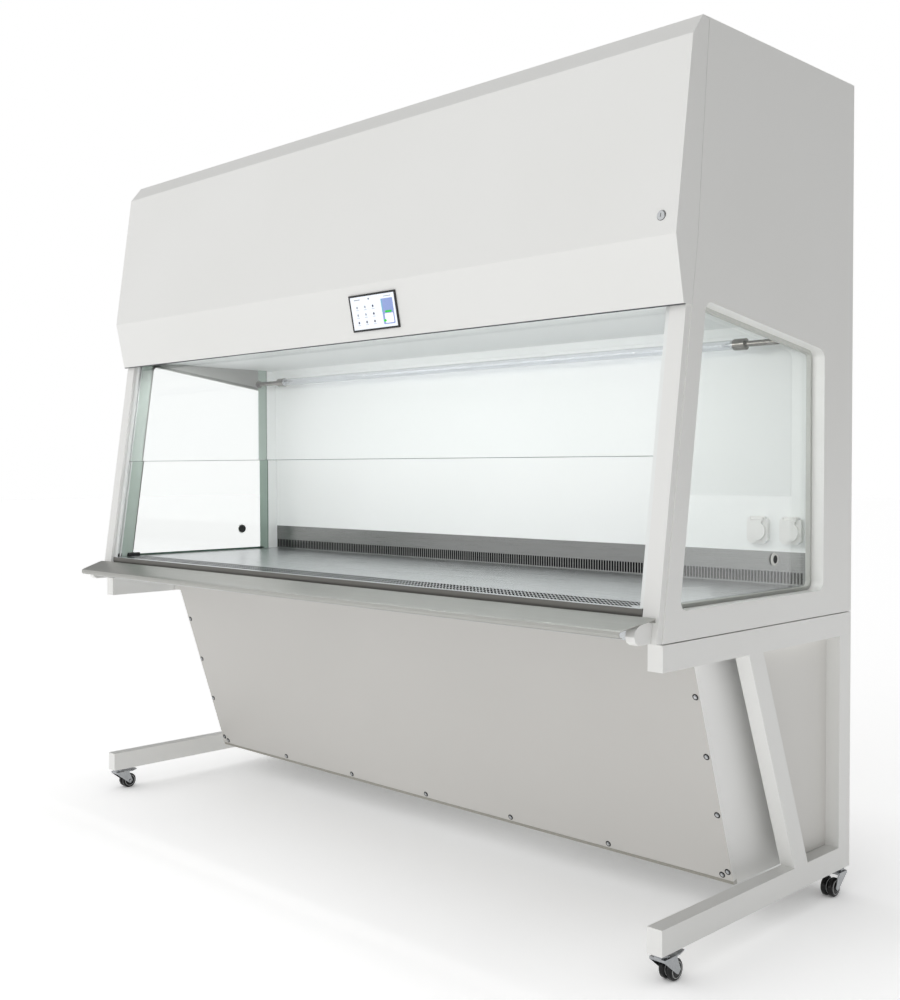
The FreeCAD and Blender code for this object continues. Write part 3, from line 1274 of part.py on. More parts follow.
def sockets():
    """Two outlets on the back wall, each under a hinged lid."""
    bases = []
    pin_height = "(socket_height + lid_rise / 2)"
    face = "(chamber_back + socket_depth)"
    pin_reach = f"({face} + lid_pin_radius + 2)"
    for i in range(2):
        middle = f"(socket_first + {i} * socket_pitch)"
        base = new_body(f"outlet_{i + 1}")
        corner = "10"
        wide, tall = "socket_width / 2", "socket_rise / 2"
        outline = [(f"{middle} - {wide} + {corner}", f"socket_height - {tall}"),
                   (f"{middle} + {wide} - {corner}", f"socket_height - {tall}"),
                   (f"{middle} + {wide}", f"socket_height - {tall} + {corner}"),
                   (f"{middle} + {wide}", f"socket_height + {tall} - {corner}"),
                   (f"{middle} + {wide} - {corner}", f"socket_height + {tall}"),
                   (f"{middle} - {wide} + {corner}", f"socket_height + {tall}"),
                   (f"{middle} - {wide}", f"socket_height + {tall} - {corner}"),
                   (f"{middle} - {wide}", f"socket_height - {tall} + {corner}")]
        pad(base, "XZ_Plane", [outline], "chamber_back", "socket_depth")
        well = [("circle", middle, "socket_height - 2", "19")]
        pocket(base, "XZ_Plane", well, face, "8")
        lid_half = "(lid_width / 2)"
        for side in ("-", ""):
            near = f"({middle} + {side}({lid_half} - 8))"
            low, high = (f"{near} - lid_ear / 2", f"{near} + lid_ear / 2")
            ear = [(low, f"{pin_height} - 5"), (high, f"{pin_height} - 5"),
                   (high, f"{pin_height} + 5"), (low, f"{pin_height} + 5")]
            pad(base, "XZ_Plane", [ear], face, "lid_pin_radius * 2 + 4")
        bore = [("circle", f"-{pin_reach}", pin_height, "lid_pin_radius + running_fit")]
        pocket(base, "YZ_Plane", bore, f"{middle} - lid_width / 2", "lid_width", False)
        bases.append(base)
    node(group("outlet_set", bases), "socket_bases")
    for i in range(2):
        middle = f"(socket_first + {i} * socket_pitch)"
        lid_half = "(lid_width / 2)"
        flap = new_body(f"flap_{i + 1}")
        flap_top = f"({pin_height} - 7)"
        flap_foot = "(socket_height - lid_rise / 2)"
        disc = f"({flap_foot} + {lid_half})"
        outline = [(f"{middle} + {lid_half} * cos({angle})", f"{disc} + {lid_half} * sin({angle})")
                   for angle in range(-210, 31, 20)]
        outline += [(f"{middle} + {lid_half} * 0.6", f"{flap_top} - 6"),
                    (f"{middle} + {lid_half} * 0.6", flap_top),
                    (f"{middle} - {lid_half} * 0.6", flap_top),
                    (f"{middle} - {lid_half} * 0.6", f"{flap_top} - 6")]
        pad(flap, "XZ_Plane", [outline], f"{face} + play", "lid_thickness")
        knuckle_half = f"({lid_half} - 8 - lid_ear / 2 - play)"
        barrel = rod(f"lid_barrel_{i + 1}", (f"{middle} - {knuckle_half}", f"-{pin_reach}", pin_height), "x",
                     "lid_pin_radius + 1.6", f"2 * {knuckle_half}")
        pin = rod(f"lid_pin_{i + 1}", (f"{middle} - {lid_half} + 8 - lid_ear / 2", f"-{pin_reach}", pin_height),
                  "x", "lid_pin_radius", "lid_width - 16 + lid_ear")
        web = block(f"lid_web_{i + 1}", (f"{middle} - {knuckle_half}", f"-{face} - play - lid_thickness",
                                         f"{flap_top} - 1"),
                    (f"{middle} + {knuckle_half}", f"-{pin_reach} + 1", f"{pin_height}"))
        node(fuse(f"lid_{i + 1}", [flap, barrel, pin, web]), f"socket_lid_{i + 1}")


stand_sides()
cross_rails()
knee_panel()
service_box()
panel_screws()
castors()
side_panels()
side_glasses()
window_seals()
side_ports()
rear_panel()
top_cover()
front_cover()
lock_cylinder()
display()
back_wall()
rear_grille()
ceiling()
worktop_trays()
front_grille()
sump_pan()
armrest()
sash()
sash_guides()
belt_drive()
drive_motor()
filters()
fan_deck()
blowers()
hood_equipment()
germicidal_lamp()
sockets()

doc.recompute()

# Check and write
failed = [thing.Label for thing in doc.Objects if {"Invalid", "Error"} & set(thing.State)]
if failed:
    raise RuntimeError("failed to build: " + ", ".join(failed))
os.makedirs("parts", exist_ok=True)
unsound = [piece.Label for piece in nodes
           if piece.Shape.isNull() or not piece.Shape.isValid() or not piece.Shape.Solids]
if unsound:
    raise RuntimeError("no sound solid in " + ", ".join(unsound))
for piece in nodes:
    piece.Shape.exportStep(f"parts/{piece.Label}.step")
print(len(nodes), "nodes written")
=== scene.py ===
import math
import bpy
import bmesh
from mathutils import Matrix, Vector


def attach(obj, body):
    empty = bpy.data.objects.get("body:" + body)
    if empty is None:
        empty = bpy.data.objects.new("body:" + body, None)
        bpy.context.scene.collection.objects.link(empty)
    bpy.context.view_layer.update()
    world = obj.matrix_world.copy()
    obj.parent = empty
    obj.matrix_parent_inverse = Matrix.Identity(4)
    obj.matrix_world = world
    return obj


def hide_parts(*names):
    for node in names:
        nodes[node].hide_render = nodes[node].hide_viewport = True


# Safety cabinet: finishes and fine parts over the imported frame. Metres, +Z up, the user sits at -Y.

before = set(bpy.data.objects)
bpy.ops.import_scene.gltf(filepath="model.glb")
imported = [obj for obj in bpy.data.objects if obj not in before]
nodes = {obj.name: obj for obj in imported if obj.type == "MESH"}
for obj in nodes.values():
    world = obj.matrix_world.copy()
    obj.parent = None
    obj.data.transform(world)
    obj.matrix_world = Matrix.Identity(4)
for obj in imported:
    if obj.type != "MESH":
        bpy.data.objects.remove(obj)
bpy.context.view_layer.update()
MM = 0.001

# Sizes shared with the frame
front_tilt = math.radians(8.3)
seam, seam_front = 0.7556, -0.374
worktop = 0.829
sash_foot = 1.165
pane_inner, pane_outer = 1.131, 1.1372
pane_foot, pane_top = 0.8295, 1.5155
rear_strip_face = 0.333
castor_across, axle_up, race_up = 1.163, 0.025, 0.0618
# End, side, sign of X, and the Y of the wheels' axle and of the swivel's stem
castors = [(end, side, sign, wheel_y, stem_y)
           for end, wheel_y, stem_y in (("front", -0.313, -0.349), ("rear", 0.424, 0.460))
           for side, sign in (("left", -1), ("right", 1))]


def front_y(height):
    """Y of the side panel's sloping front edge."""
    return seam_front + (height - seam) * math.tan(front_tilt)


# Colours and nodes

def paint(code):
    """An sRGB hex colour as linear light."""
    channels = [int(code[i:i + 2], 16) / 255 for i in (0, 2, 4)]
    return [c / 12.92 if c <= 0.04045 else ((c + 0.055) / 1.055) ** 2.4 for c in channels] + [1.0]


def add(tree, kind, inputs=None, **settings):
    """Adds one node: settings are its own fields, inputs are socket values or sockets to link from."""
    node = tree.nodes.new(kind)
    for key, value in settings.items():
        setattr(node, key, value)
    for key, value in (inputs or {}).items():
        if isinstance(value, bpy.types.NodeSocket):
            tree.links.new(value, node.inputs[key])
        else:
            node.inputs[key].default_value = value
    return node


def finish(name, colour, roughness, metallic=0.0, **sockets):
    """A material with its shader's plain values, and its node tree."""
    material = bpy.data.materials.new(name)
    material.use_nodes = True
    tree = material.node_tree
    shader = tree.nodes["Principled BSDF"]
    shader.inputs["Base Color"].default_value = paint(colour)
    shader.inputs["Roughness"].default_value = roughness
    shader.inputs["Metallic"].default_value = metallic
    for key, value in sockets.items():
        shader.inputs[key.replace("_", " ")].default_value = value
    return material, tree, shader


def object_place(tree, scale=(1, 1, 1)):
    """The object's own coordinates in metres, squeezed for a pattern that runs along one axis."""
    place = add(tree, "ShaderNodeTexCoord").outputs["Object"]
    return add(tree, "ShaderNodeMapping", {"Vector": place, "Scale": scale}).outputs[0]


def grain(tree, place, size_mm, detail=2.0, rough=0.5):
    """Noise whose lumps measure about size_mm on the object."""
    return add(tree, "ShaderNodeTexNoise", {"Vector": place, "Scale": 1 / (size_mm * MM),
                                            "Detail": detail, "Roughness": rough}).outputs["Fac"]


def spread(tree, value, low, high):
    """Maps a 0 to 1 pattern onto a range."""
    return add(tree, "ShaderNodeMapRange", {"Value": value, "From Min": 0.3, "From Max": 0.7,
                                            "To Min": low, "To Max": high}).outputs["Result"]


def two_tone(tree, value, first, second):
    """Drifts between two close colours."""
    mix = add(tree, "ShaderNodeMix", {0: value}, data_type="RGBA")
    mix.inputs[6].default_value = paint(first)
    mix.inputs[7].default_value = paint(second)
    return mix.outputs[2]


def dimple(tree, shader, value, depth_mm, strength=1.0):
    """Surface relief of a real depth."""
    bump = add(tree, "ShaderNodeBump", {"Height": value, "Distance": depth_mm * MM, "Strength": strength})
    tree.links.new(bump.outputs[0], shader.inputs["Normal"])


def powder_coat(name, colour, shade, roughness):
    """Baked polyester powder on sheet steel: even colour, with the faint orange peel of the melt."""
    material, tree, shader = finish(name, colour, roughness)
    place = object_place(tree)
    drift = grain(tree, place, 420, 1.0)
    tree.links.new(two_tone(tree, drift, colour, shade), shader.inputs["Base Color"])
    peel = grain(tree, place, 3.0, 1.5)
    tree.links.new(spread(tree, peel, roughness - 0.03, roughness + 0.04), shader.inputs["Roughness"])
    # The peel is a few hundredths of a millimetre deep
    dimple(tree, shader, peel, 0.04, 0.5)
    return material


def brushed_stainless(name, colour, shade, along, roughness=0.3):
    """Grit-brushed stainless sheet: streaks far longer than wide, along the sheet."""
    material, tree, shader = finish(name, colour, roughness, 1.0)
    # Grit lines are 0.05 mm wide on the real sheet and are drawn at about 0.8 mm so that they show
    squeeze = [0.004 if axis == along else 1 for axis in "xyz"]
    place = object_place(tree, squeeze)
    lines = grain(tree, place, 0.8, 3.0, 0.6)
    bands = grain(tree, place, 9, 2.0)
    tree.links.new(two_tone(tree, bands, colour, shade), shader.inputs["Base Color"])
    tree.links.new(spread(tree, lines, roughness - 0.06, roughness + 0.08), shader.inputs["Roughness"])
    dimple(tree, shader, lines, 0.004, 0.3)
    return material


def moulded(name, colour, shade, roughness, grain_mm=1.2, **sockets):
    """Injection-moulded plastic or rubber: fine spark-eroded texture from the mould."""
    material, tree, shader = finish(name, colour, roughness, **sockets)
    place = object_place(tree)
    tree.links.new(two_tone(tree, grain(tree, place, 40, 1.0), colour, shade), shader.inputs["Base Color"])
    texture = grain(tree, place, grain_mm, 2.0)
    tree.links.new(spread(tree, texture, roughness - 0.04, roughness + 0.05), shader.inputs["Roughness"])
    dimple(tree, shader, texture, 0.02, 0.4)
    return material


def plated(name, colour, shade, roughness):
    """Zinc or nickel plate on pressed steel: bright, with soft cloudy crystals."""
    material, tree, shader = finish(name, colour, roughness, 1.0)
    place = object_place(tree)
    cloud = grain(tree, place, 7, 2.0)
    tree.links.new(two_tone(tree, cloud, colour, shade), shader.inputs["Base Color"])
    tree.links.new(spread(tree, cloud, roughness - 0.05, roughness + 0.08), shader.inputs["Roughness"])
    dimple(tree, shader, grain(tree, place, 1.5), 0.01, 0.3)
    return material


def pane(name, tint, roughness=0.02):
    """Float glass: clear, with a light green body from its iron, and straight shadows let through."""
    material, tree, shader = finish(name, tint, roughness, Transmission_Weight=1.0, IOR=1.5)
    place = object_place(tree)
    # Rollers leave waves about 200 mm long that only bend reflections
    dimple(tree, shader, grain(tree, place, 200, 0.0), 0.05, 0.2)
    clear = add(tree, "ShaderNodeBsdfTransparent", {"Color": paint(tint)})
    path = add(tree, "ShaderNodeLightPath")
    mix = add(tree, "ShaderNodeMixShader", {0: path.outputs["Is Shadow Ray"], 1: shader.outputs[0],
                                            2: clear.outputs[0]})
    tree.links.new(mix.outputs[0], tree.nodes["Material Output"].inputs["Surface"])
    return material


# Painted sheet: satin, even, warm white outside and cooler white inside
white_coat = powder_coat("white_polyester_powder_coat", "f0f0ee", "ecece9", 0.42)
inside_coat = powder_coat("white_chamber_powder_coat", "f1f3f2", "edf0ee", 0.4)
# A brighter copy of the white coat, painted light: it lifts the service box's side and the knee panel's
# folded edges, which face away from the light
painted_light_coat = powder_coat("painted_light_white_powder_coat", "fbfbfa", "f8f8f6", 0.4)
grey_coat = powder_coat("light_grey_powder_coat", "dddcd8", "d9d8d4", 0.48)
knee_coat = powder_coat("mid_grey_powder_coat", "cac8c4", "c6c4c0", 0.5)
infill_coat = powder_coat("pale_grey_powder_coat", "e2e1dd", "dedcd8", 0.45)
# Dark grey for painted shade in a strip along the knee panel's foot
foot_shade_coat = powder_coat("painted_shade_grey", "9a988f", "96948b", 0.5)
motor_coat = powder_coat("black_motor_enamel", "303236", "2b2d31", 0.5)
# Stainless: the trays are bright; the sill and the rear strip are darker copies of the same steel, painted
# shade for the darker room that their upright faces mirror
tray_steel = brushed_stainless("brushed_stainless_tray", "cacdcf", "c0c3c5", "x", 0.27)
strip_steel_painted_shade = brushed_stainless("brushed_stainless_strip_painted_shade", "909190", "8a8b89", "x", 0.3)
rest_steel = brushed_stainless("brushed_stainless_armrest", "b0b0ac", "acaca8", "x", 0.36)
sill_steel_painted_shade = brushed_stainless("brushed_stainless_sill_painted_shade", "73726e", "706f6b", "x", 0.34)
bare_sheet = brushed_stainless("galvanised_sheet", "c3c7c9", "b5babd", "y", 0.42)
# Small bright metal: turned steel, zinc plate on the castors, nickel on the lamp holders
turned_steel = plated("turned_bright_steel", "c8cacc", "b9bcbe", 0.25)
zinc_plate = plated("zinc_plated_pressing", "b4b6b8", "9b9ea1", 0.2)
nickel_plate = plated("nickel_plated_clip", "8f8c87", "7c7974", 0.16)
screw_steel = plated("blackened_screw_steel", "6c6b69", "5b5a58", 0.22)
anodised = brushed_stainless("anodised_aluminium", "a7aeaa", "a0a7a3", "z", 0.38)
# Glass: low-iron float in the windows and the sash, thin quartz in the lamp, and the ground edge of the sash,
# painted dark for the shade inside the sheet
window_glass = pane("float_glass_side_pane", "fcfefd")
sash_pane_glass = pane("float_glass_sash", "fdfefe")
lamp_glass = pane("quartz_lamp_tube", "f4f5f7", 0.04)
ground_edge_shade = moulded("ground_glass_edge_painted_shade", "5d6b66", "56645f", 0.5)
# Painted shade seen through the left pane, green from the glass
rear_jamb_shade = moulded("painted_shade_grey_green", "9fb0a6", "99aaa0", 0.35)
front_post_shade = moulded("painted_shade_pale_green", "c0cec5", "bac8bf", 0.35)
glass_edge_shade = moulded("painted_shade_dark_green", "4f6459", "495e53", 0.35)
# Rubber and plastic: matt seals, a black tyre with a slight sheen, satin white sockets, a glossy bezel
# Matt black without sheen, painted shade for the unlit spaces behind the slots
slot_shade_black = moulded("painted_shade_behind_slots", "080809", "0b0b0c", 0.9, 3.0, Specular_IOR_Level=0.0)
seal_rubber = moulded("grey_extruded_rubber", "c4c6c1", "bcbeb9", 0.6)
lip_rubber = moulded("dark_grey_extruded_rubber", "55575a", "4e5053", 0.6)
# Black rubber, also painted shade on the knee panel's washers
black_rubber_and_shade = moulded("black_rubber_and_painted_shade", "1d1d1e", "232324", 0.62)
tyre_rubber = moulded("polyurethane_tyre", "0b0b0c", "101011", 0.22, Specular_IOR_Level=0.3)
white_plastic = moulded("white_abs_plastic", "e6e6e3", "e0e0dd", 0.4)
cap_plastic = moulded("pale_grommet_plastic", "dcdcd8", "d4d4d0", 0.45)
ring_plastic = moulded("grey_nylon_wheel_ring", "b5b6b6", "abacac", 0.4)
# Glossy black, also painted shade in the lock's keyway
black_bezel_and_slot_shade = moulded("black_gloss_bezel_and_painted_shade", "121214", "17171a", 0.2, 2.0)
screen_plastic = moulded("lit_display_panel", "e8edf3", "e3e9f0", 0.12, 3.0,
                         Emission_Color=paint("f2f7ff"), Emission_Strength=0.3)
filter_paper = moulded("glass_fibre_filter_paper", "eeeee8", "e6e6df", 0.85, 4.0)
# The picture on the lit display
ink = moulded("display_dark_symbol", "4b4f66", "454960", 0.3, 3.0)
pale_ink = moulded("display_pale_symbol", "a9b0ba", "a2a9b3", 0.3, 3.0)
panel_blue = moulded("display_blue_field", "9fb2ea", "98abe4", 0.3, 3.0)
edge_blue = moulded("display_cyan_edge", "8cc8e8", "86c1e2", 0.3, 3.0)
signal_green = moulded("display_green_mark", "08d820", "07d01e", 0.3, 3.0,
                       Emission_Color=paint("10d828"), Emission_Strength=0.15)
tile_white = moulded("display_white_tile", "fbfcfe", "f6f8fb", 0.25, 3.0,
                     Emission_Color=paint("ffffff"), Emission_Strength=0.25)

coats = {
    white_coat: ["side_panel_left", "side_panel_right", "front_cover", "top_cover", "armrest_brackets",
                 "stand_side_left", "stand_side_right"],
    painted_light_coat: ["service_box"],
    inside_coat: ["back_wall", "ceiling_diffuser", "ceiling_trim", "sash_guides"],
    grey_coat: ["cross_rails", "rear_panel"],
    knee_coat: ["knee_panel"],
    tray_steel: ["worktop_tray_1", "worktop_tray_2", "worktop_tray_3", "worktop_tray_4", "front_grille",
                 "sump_pan"],
    rest_steel: ["armrest"],
    strip_steel_painted_shade: ["rear_grille"],
    bare_sheet: ["fan_deck", "blower_housings", "control_box"],
    turned_steel: ["sash_drive_shaft", "idler_pulleys", "panel_screws", "lock_cylinder"],
    zinc_plate: ["castor_fork_front_left", "castor_fork_front_right", "castor_fork_rear_left",
                 "castor_fork_rear_right", "brake_pedal_left", "brake_pedal_right"],
    nickel_plate: ["uv_holders"],
    anodised: ["sash_clamps"],
    window_glass: ["side_glass_left", "side_glass_right"],
    sash_pane_glass: ["sash_glass"],
    lamp_glass: ["uv_tube"],
    seal_rubber: ["window_seals"],
    black_rubber_and_shade: ["side_ports", "drive_belts"],
    tyre_rubber: ["castor_wheels_front_left", "castor_wheels_front_right", "castor_wheels_rear_left",
                  "castor_wheels_rear_right"],
    white_plastic: ["socket_bases", "socket_lid_1", "socket_lid_2", "impeller_left", "impeller_right",
                    "work_light"],
    black_bezel_and_slot_shade: ["display_bezel"],
    screen_plastic: ["display_screen"],
    motor_coat: ["sash_motor"],
    filter_paper: ["supply_filter", "exhaust_filter"],
}
for material, names in coats.items():
    for name in names:
        nodes[name].data.materials.clear()
        nodes[name].data.materials.append(material)

# Making pieces

weld = 0.00001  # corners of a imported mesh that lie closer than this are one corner
seam_weld = 0.000002  # a turned profile closes on itself within this


def alone(piece):
    """Only this object is selected and active."""
    bpy.ops.object.select_all(action="DESELECT")
    piece.select_set(True)
    bpy.context.view_layer.objects.active = piece


def edit(piece, pick=None):
    """Opens a piece for editing with the faces selected that a test picks, or all of them."""
    alone(piece)
    bpy.ops.object.mode_set(mode="EDIT")
    bpy.ops.mesh.select_mode(type="FACE")
    bpy.ops.mesh.select_all(action="DESELECT" if pick else "SELECT")
    if pick:
        mesh = bmesh.from_edit_mesh(piece.data)
        for face in mesh.faces:
            face.select_set(bool(pick(face)))
        bmesh.update_edit_mesh(piece.data)


def close_edit():
    """Back to object mode."""
    bpy.ops.object.mode_set(mode="OBJECT")


def modify(piece, kind, **settings):
    """Adds one modifier and applies it."""
    alone(piece)
    modifier = piece.modifiers.new(kind.lower(), kind)
    for key, value in settings.items():
        setattr(modifier, key, value)
    bpy.ops.object.modifier_apply(modifier=modifier.name)


def hand_over(piece, name, material, body, smooth=30):
    """Names a finished piece, puts its place into its mesh and hangs it on its body."""
    piece.name = name
    alone(piece)
    bpy.ops.object.transform_apply(location=True, rotation=True, scale=True)
    if smooth:
        bpy.ops.object.shade_smooth_by_angle(angle=math.radians(smooth))
    piece.data.materials.clear()
    piece.data.materials.append(material)
    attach(piece, body)


def flat_outline(points):
    """A filled flat shape through the points, started from a disc with as many corners."""
    bpy.ops.object.select_all(action="DESELECT")
    bpy.ops.mesh.primitive_circle_add(vertices=len(points), fill_type="NGON")
    piece = bpy.context.object
    for vertex, point in zip(piece.data.vertices, points):
        vertex.co = point
    return piece


def drawn_out(points, along):
    """A flat shape pulled out along a vector into a bar."""
    piece = flat_outline(points)
    edit(piece)
    bpy.ops.mesh.extrude_region_move(TRANSFORM_OT_translate={"value": along})
    bpy.ops.mesh.select_all(action="SELECT")
    bpy.ops.mesh.normals_make_consistent(inside=False)
    close_edit()
    return piece


def bar(start, length, section, corner=(0, 0)):
    """A section drawn out along X from where it starts: (Y, Z) places measured from a corner."""
    return drawn_out([(start, corner[0] + y, corner[1] + z) for y, z in section], (length, 0, 0))


def oblong(y_low, z_low, y_high, z_high):
    """A section with four square corners."""
    return [(y_low, z_low), (y_high, z_low), (y_high, z_high), (y_low, z_high)]


def turned(profile, centre, steps=32, axis=(1, 0, 0)):
    """A closed profile of (place along the axis, radius) pairs, turned about an axis through the centre."""
    bpy.ops.object.select_all(action="DESELECT")
    bpy.ops.mesh.primitive_circle_add(vertices=len(profile), fill_type="NOTHING")
    piece = bpy.context.object
    for vertex, (across, radius) in zip(piece.data.vertices, profile):
        vertex.co = (across, radius, 0)
    modify(piece, "SCREW", axis="X", steps=steps, render_steps=steps, use_merge_vertices=True,
           merge_threshold=seam_weld)
    edit(piece)
    bpy.ops.mesh.normals_make_consistent(inside=False)
    close_edit()
    piece.rotation_euler = Vector((1, 0, 0)).rotation_difference(Vector(axis)).to_euler()
    piece.location = centre
    return piece


def clumps(node):
    """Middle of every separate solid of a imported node."""
    mesh = bmesh.new()
    mesh.from_mesh(nodes[node].data)
    bmesh.ops.remove_doubles(mesh, verts=mesh.verts, dist=weld)
    left, middles = set(mesh.verts), []
    while left:
        grown = {left.pop()}
        border = list(grown)
        while border:
            vertex = border.pop()
            near = {link.other_vert(vertex) for link in vertex.link_edges} - grown
            grown |= near
            border += near
        left -= grown
        low = [min(v.co[i] for v in grown) for i in range(3)]
        high = [max(v.co[i] for v in grown) for i in range(3)]
        middles.append(Vector([(a + b) / 2 for a, b in zip(low, high)]))
    mesh.free()
    return sorted(middles, key=lambda v: (round(v.z, 3), round(v.x, 3)))


def both_sides(piece, name, material, smooth=30):
    """Hands over a piece of the cabinet's right side, and its mirror image with its own mesh at the left."""
    hand_over(piece, name + "_right", material, "cabinet", smooth)
    twin = piece.copy()
    twin.data = piece.data.copy()
    twin.parent = None
    twin.matrix_world = Matrix.Identity(4)
    bpy.context.scene.collection.objects.link(twin)
    alone(twin)
    twin.scale.x = -1
    bpy.ops.object.transform_apply(location=False, rotation=False, scale=True)
    edit(twin)
    bpy.ops.mesh.normals_make_consistent(inside=False)
    close_edit()
    twin.name = name + "_left"
    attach(twin, "cabinet")


def eased(node, width_mm):
    """A packed sheet or tube part, its edges broken by the small radius that folding and coating leave."""
    source = nodes[node]
    piece = source.copy()
    piece.data = source.data.copy()
    for key in list(piece.keys()):
        del piece[key]
    piece.parent = None
    piece.matrix_world = Matrix.Identity(4)
    bpy.context.scene.collection.objects.link(piece)
    edit(piece)
    bpy.ops.mesh.remove_doubles(threshold=weld)
    bpy.ops.mesh.dissolve_limited(angle_limit=math.radians(0.5))
    close_edit()
    modify(piece, "BEVEL", width=width_mm * MM, segments=2, limit_method="ANGLE",
           angle_limit=math.radians(35), use_clamp_overlap=True, harden_normals=False)
    hand_over(piece, node + "_eased", source.data.materials[0], "cabinet", 40)
    # Flat faces keep a flat look: only the small radii bend the light
    modify(piece, "WEIGHTED_NORMAL", mode="FACE_AREA", weight=100, keep_sharp=True)
    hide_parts(node)


# Sheet and tube parts with eased edges
for node, width in (("side_panel_left", 1.2), ("side_panel_right", 1.2), ("stand_side_left", 1.5),
                    ("stand_side_right", 1.5), ("armrest_brackets", 1.0), ("cross_rails", 1.5)):
    eased(node, width)

# Punched strips

plain_end = 0.04  # the net is straight again this near a strip's ends


def punched(across, rows, shifts, place, thickness_mm, is_slot):
    """Thin sheet cut by a net of columns and rows, with the slot cells taken out of it."""
    bpy.ops.object.select_all(action="DESELECT")
    bpy.ops.mesh.primitive_grid_add(x_subdivisions=len(across) - 1, y_subdivisions=len(rows) - 1, size=2)
    sheet = bpy.context.object
    for vertex in sheet.data.vertices:
        column = round((vertex.co.x + 1) / 2 * (len(across) - 1))
        row = round((vertex.co.y + 1) / 2 * (len(rows) - 1))
        reach = max(abs(across[0]) - abs(across[column]), 0)
        vertex.co = place(across[column] + shifts[row] * min(reach / plain_end, 1), rows[row])
    cells = len(across) - 1
    edit(sheet, lambda face: is_slot(face.index % cells, face.index // cells))
    bpy.ops.mesh.delete(type="FACE")
    close_edit()
    modify(sheet, "SOLIDIFY", thickness=thickness_mm * MM, offset=-1)
    return sheet


# Front grille: three staggered rows of slanting slots, folded down at the front.
# The sheet is drawn 0.4 mm thick at the slots, so that a flat view looks into them
half_strip, strip_back, strip_front = 1.1305, -0.262, -0.378
front_count, plain_columns = 188, 8
front_pitch = 2 * half_strip / front_count
front_open = 0.7  # share of a pitch that is slot
front_columns = [-half_strip + (n // 2 + front_open * (n % 2)) * front_pitch
                 for n in range(2 * front_count)] + [half_strip]
front_rows = [strip_back - back * MM for back in (116, 99, 73, 68, 42, 37, 11, 0)]
slot_rows = (1, 3, 5)
lean_over = 0.0144
half_step = front_pitch / 2
front_shifts = [0, lean_over, -lean_over, lean_over + half_step, -lean_over + half_step,
                lean_over, -lean_over, 0]
grille = punched(front_columns, front_rows, front_shifts, lambda x, y: (x, y, worktop), 0.4,
                 lambda column, row: (row in slot_rows and column % 2 == 0
                                      and plain_columns <= column < 2 * front_count - plain_columns))
sill_drop, sill_gauge, grille_gauge = 0.04, 0.002, 0.0005
fold = bar(-half_strip, 2 * half_strip,
           oblong(strip_front, worktop - sill_drop, strip_front + sill_gauge, worktop - grille_gauge))
hand_over(grille, "front_grille_punched", tray_steel, "cabinet", 0)
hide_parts("front_grille")
hand_over(fold, "front_grille_sill", sill_steel_painted_shade, "cabinet", 0)
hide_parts("front_grille")

# Painted shade behind the slots: unlit black sheets over the pan under the front grille and in the return
# duct behind the rear strip
pan_half, pan_face, duct_half, duct_face, duct_top = 1.128, 0.8275, 1.130, 0.3337, 0.868
shade_sheet_gauge = 0.001
hand_over(bar(-pan_half, 2 * pan_half, oblong(-0.374, pan_face - shade_sheet_gauge, -0.2625, pan_face)),
          "front_pan_painted_shade", slot_shade_black, "cabinet", 0)
hand_over(bar(-duct_half, 2 * duct_half, oblong(duct_face, worktop, duct_face + shade_sheet_gauge, duct_top)),
          "return_duct_painted_shade", slot_shade_black, "cabinet", 0)

# Rear strip: one row of upright slots over the trays
rear_half, rear_pitch, rear_count, rear_slot = 1.1367, 0.0097, 232, 0.0062
rear_start = -(rear_count - 1) / 2 * rear_pitch - rear_slot / 2
rear_columns = ([-rear_half]
                + [rear_start + n // 2 * rear_pitch + n % 2 * rear_slot for n in range(2 * rear_count)]
                + [rear_half])
rear_rows = [0.827, 0.832, 0.862, 0.915]
strip = punched(rear_columns, rear_rows, [0] * len(rear_rows), lambda x, z: (x, rear_strip_face, z), 0.5,
                lambda column, row: row == 1 and column % 2 == 1)
hand_over(strip, "rear_grille_punched", strip_steel_painted_shade, "cabinet", 0)
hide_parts("rear_grille")

# Extruded gasket under the lip of the hood, seen as a dark line
gasket_half = 1.182
gasket = bar(-gasket_half, 2 * gasket_half, [(-0.2985, 1.4988), (-0.2985, 1.4968), (-0.2945, 1.4964),
                                             (-0.2905, 1.4968), (-0.2905, 1.4988)])
hand_over(gasket, "hood_lip_gasket", lip_rubber, "cover", 40)

# Ground lower edge of the sash, dark because the light inside the sheet turns back there
sash_half = 1.126
low_edge = bar(-sash_half, 2 * sash_half, [(-0.0001, -0.0002), (0.0058, -0.0010), (0.0058, -0.0016),
                                           (-0.0001, -0.0008)], (front_y(sash_foot) - 0.004, sash_foot))
hand_over(low_edge, "sash_ground_edge", ground_edge_shade, "sash", 0)

# Moulded blocks that close the feet of the sash guides, and the clamps that hold the panes behind them
for name, inner, width, bevel_mm, section in (
        ("guide_foot", 1.1268, 0.0102, 1.2,
         [(-0.006, 0.0002), (0.016, 0.0002), (0.0175, 0.011), (-0.0045, 0.011)]),
        ("pane_clamp", 1.1195, 0.0110, 1.0,
         [(0.038, 0.0002), (0.084, 0.0002), (0.084, 0.012), (0.040, 0.012)])):
    block = bar(inner, width, section, (front_y(worktop), worktop))
    modify(block, "BEVEL", width=bevel_mm * MM, segments=2)
    both_sides(block, name, black_rubber_and_shade)

# Port collars: a pale moulded ring round each port, on the pane's outer face
port_at = (0, 0.17, 0.908)
collar_profile = [(0, 0.0085), (0, 0.0165), (0.0023, 0.0165), (0.0040, 0.0145), (0.0040, 0.0105),
                  (0.0026, 0.0085)]
collar = turned([(pane_outer + out, radius) for out, radius in collar_profile], port_at, 40)
both_sides(collar, "port_collar", cap_plastic)

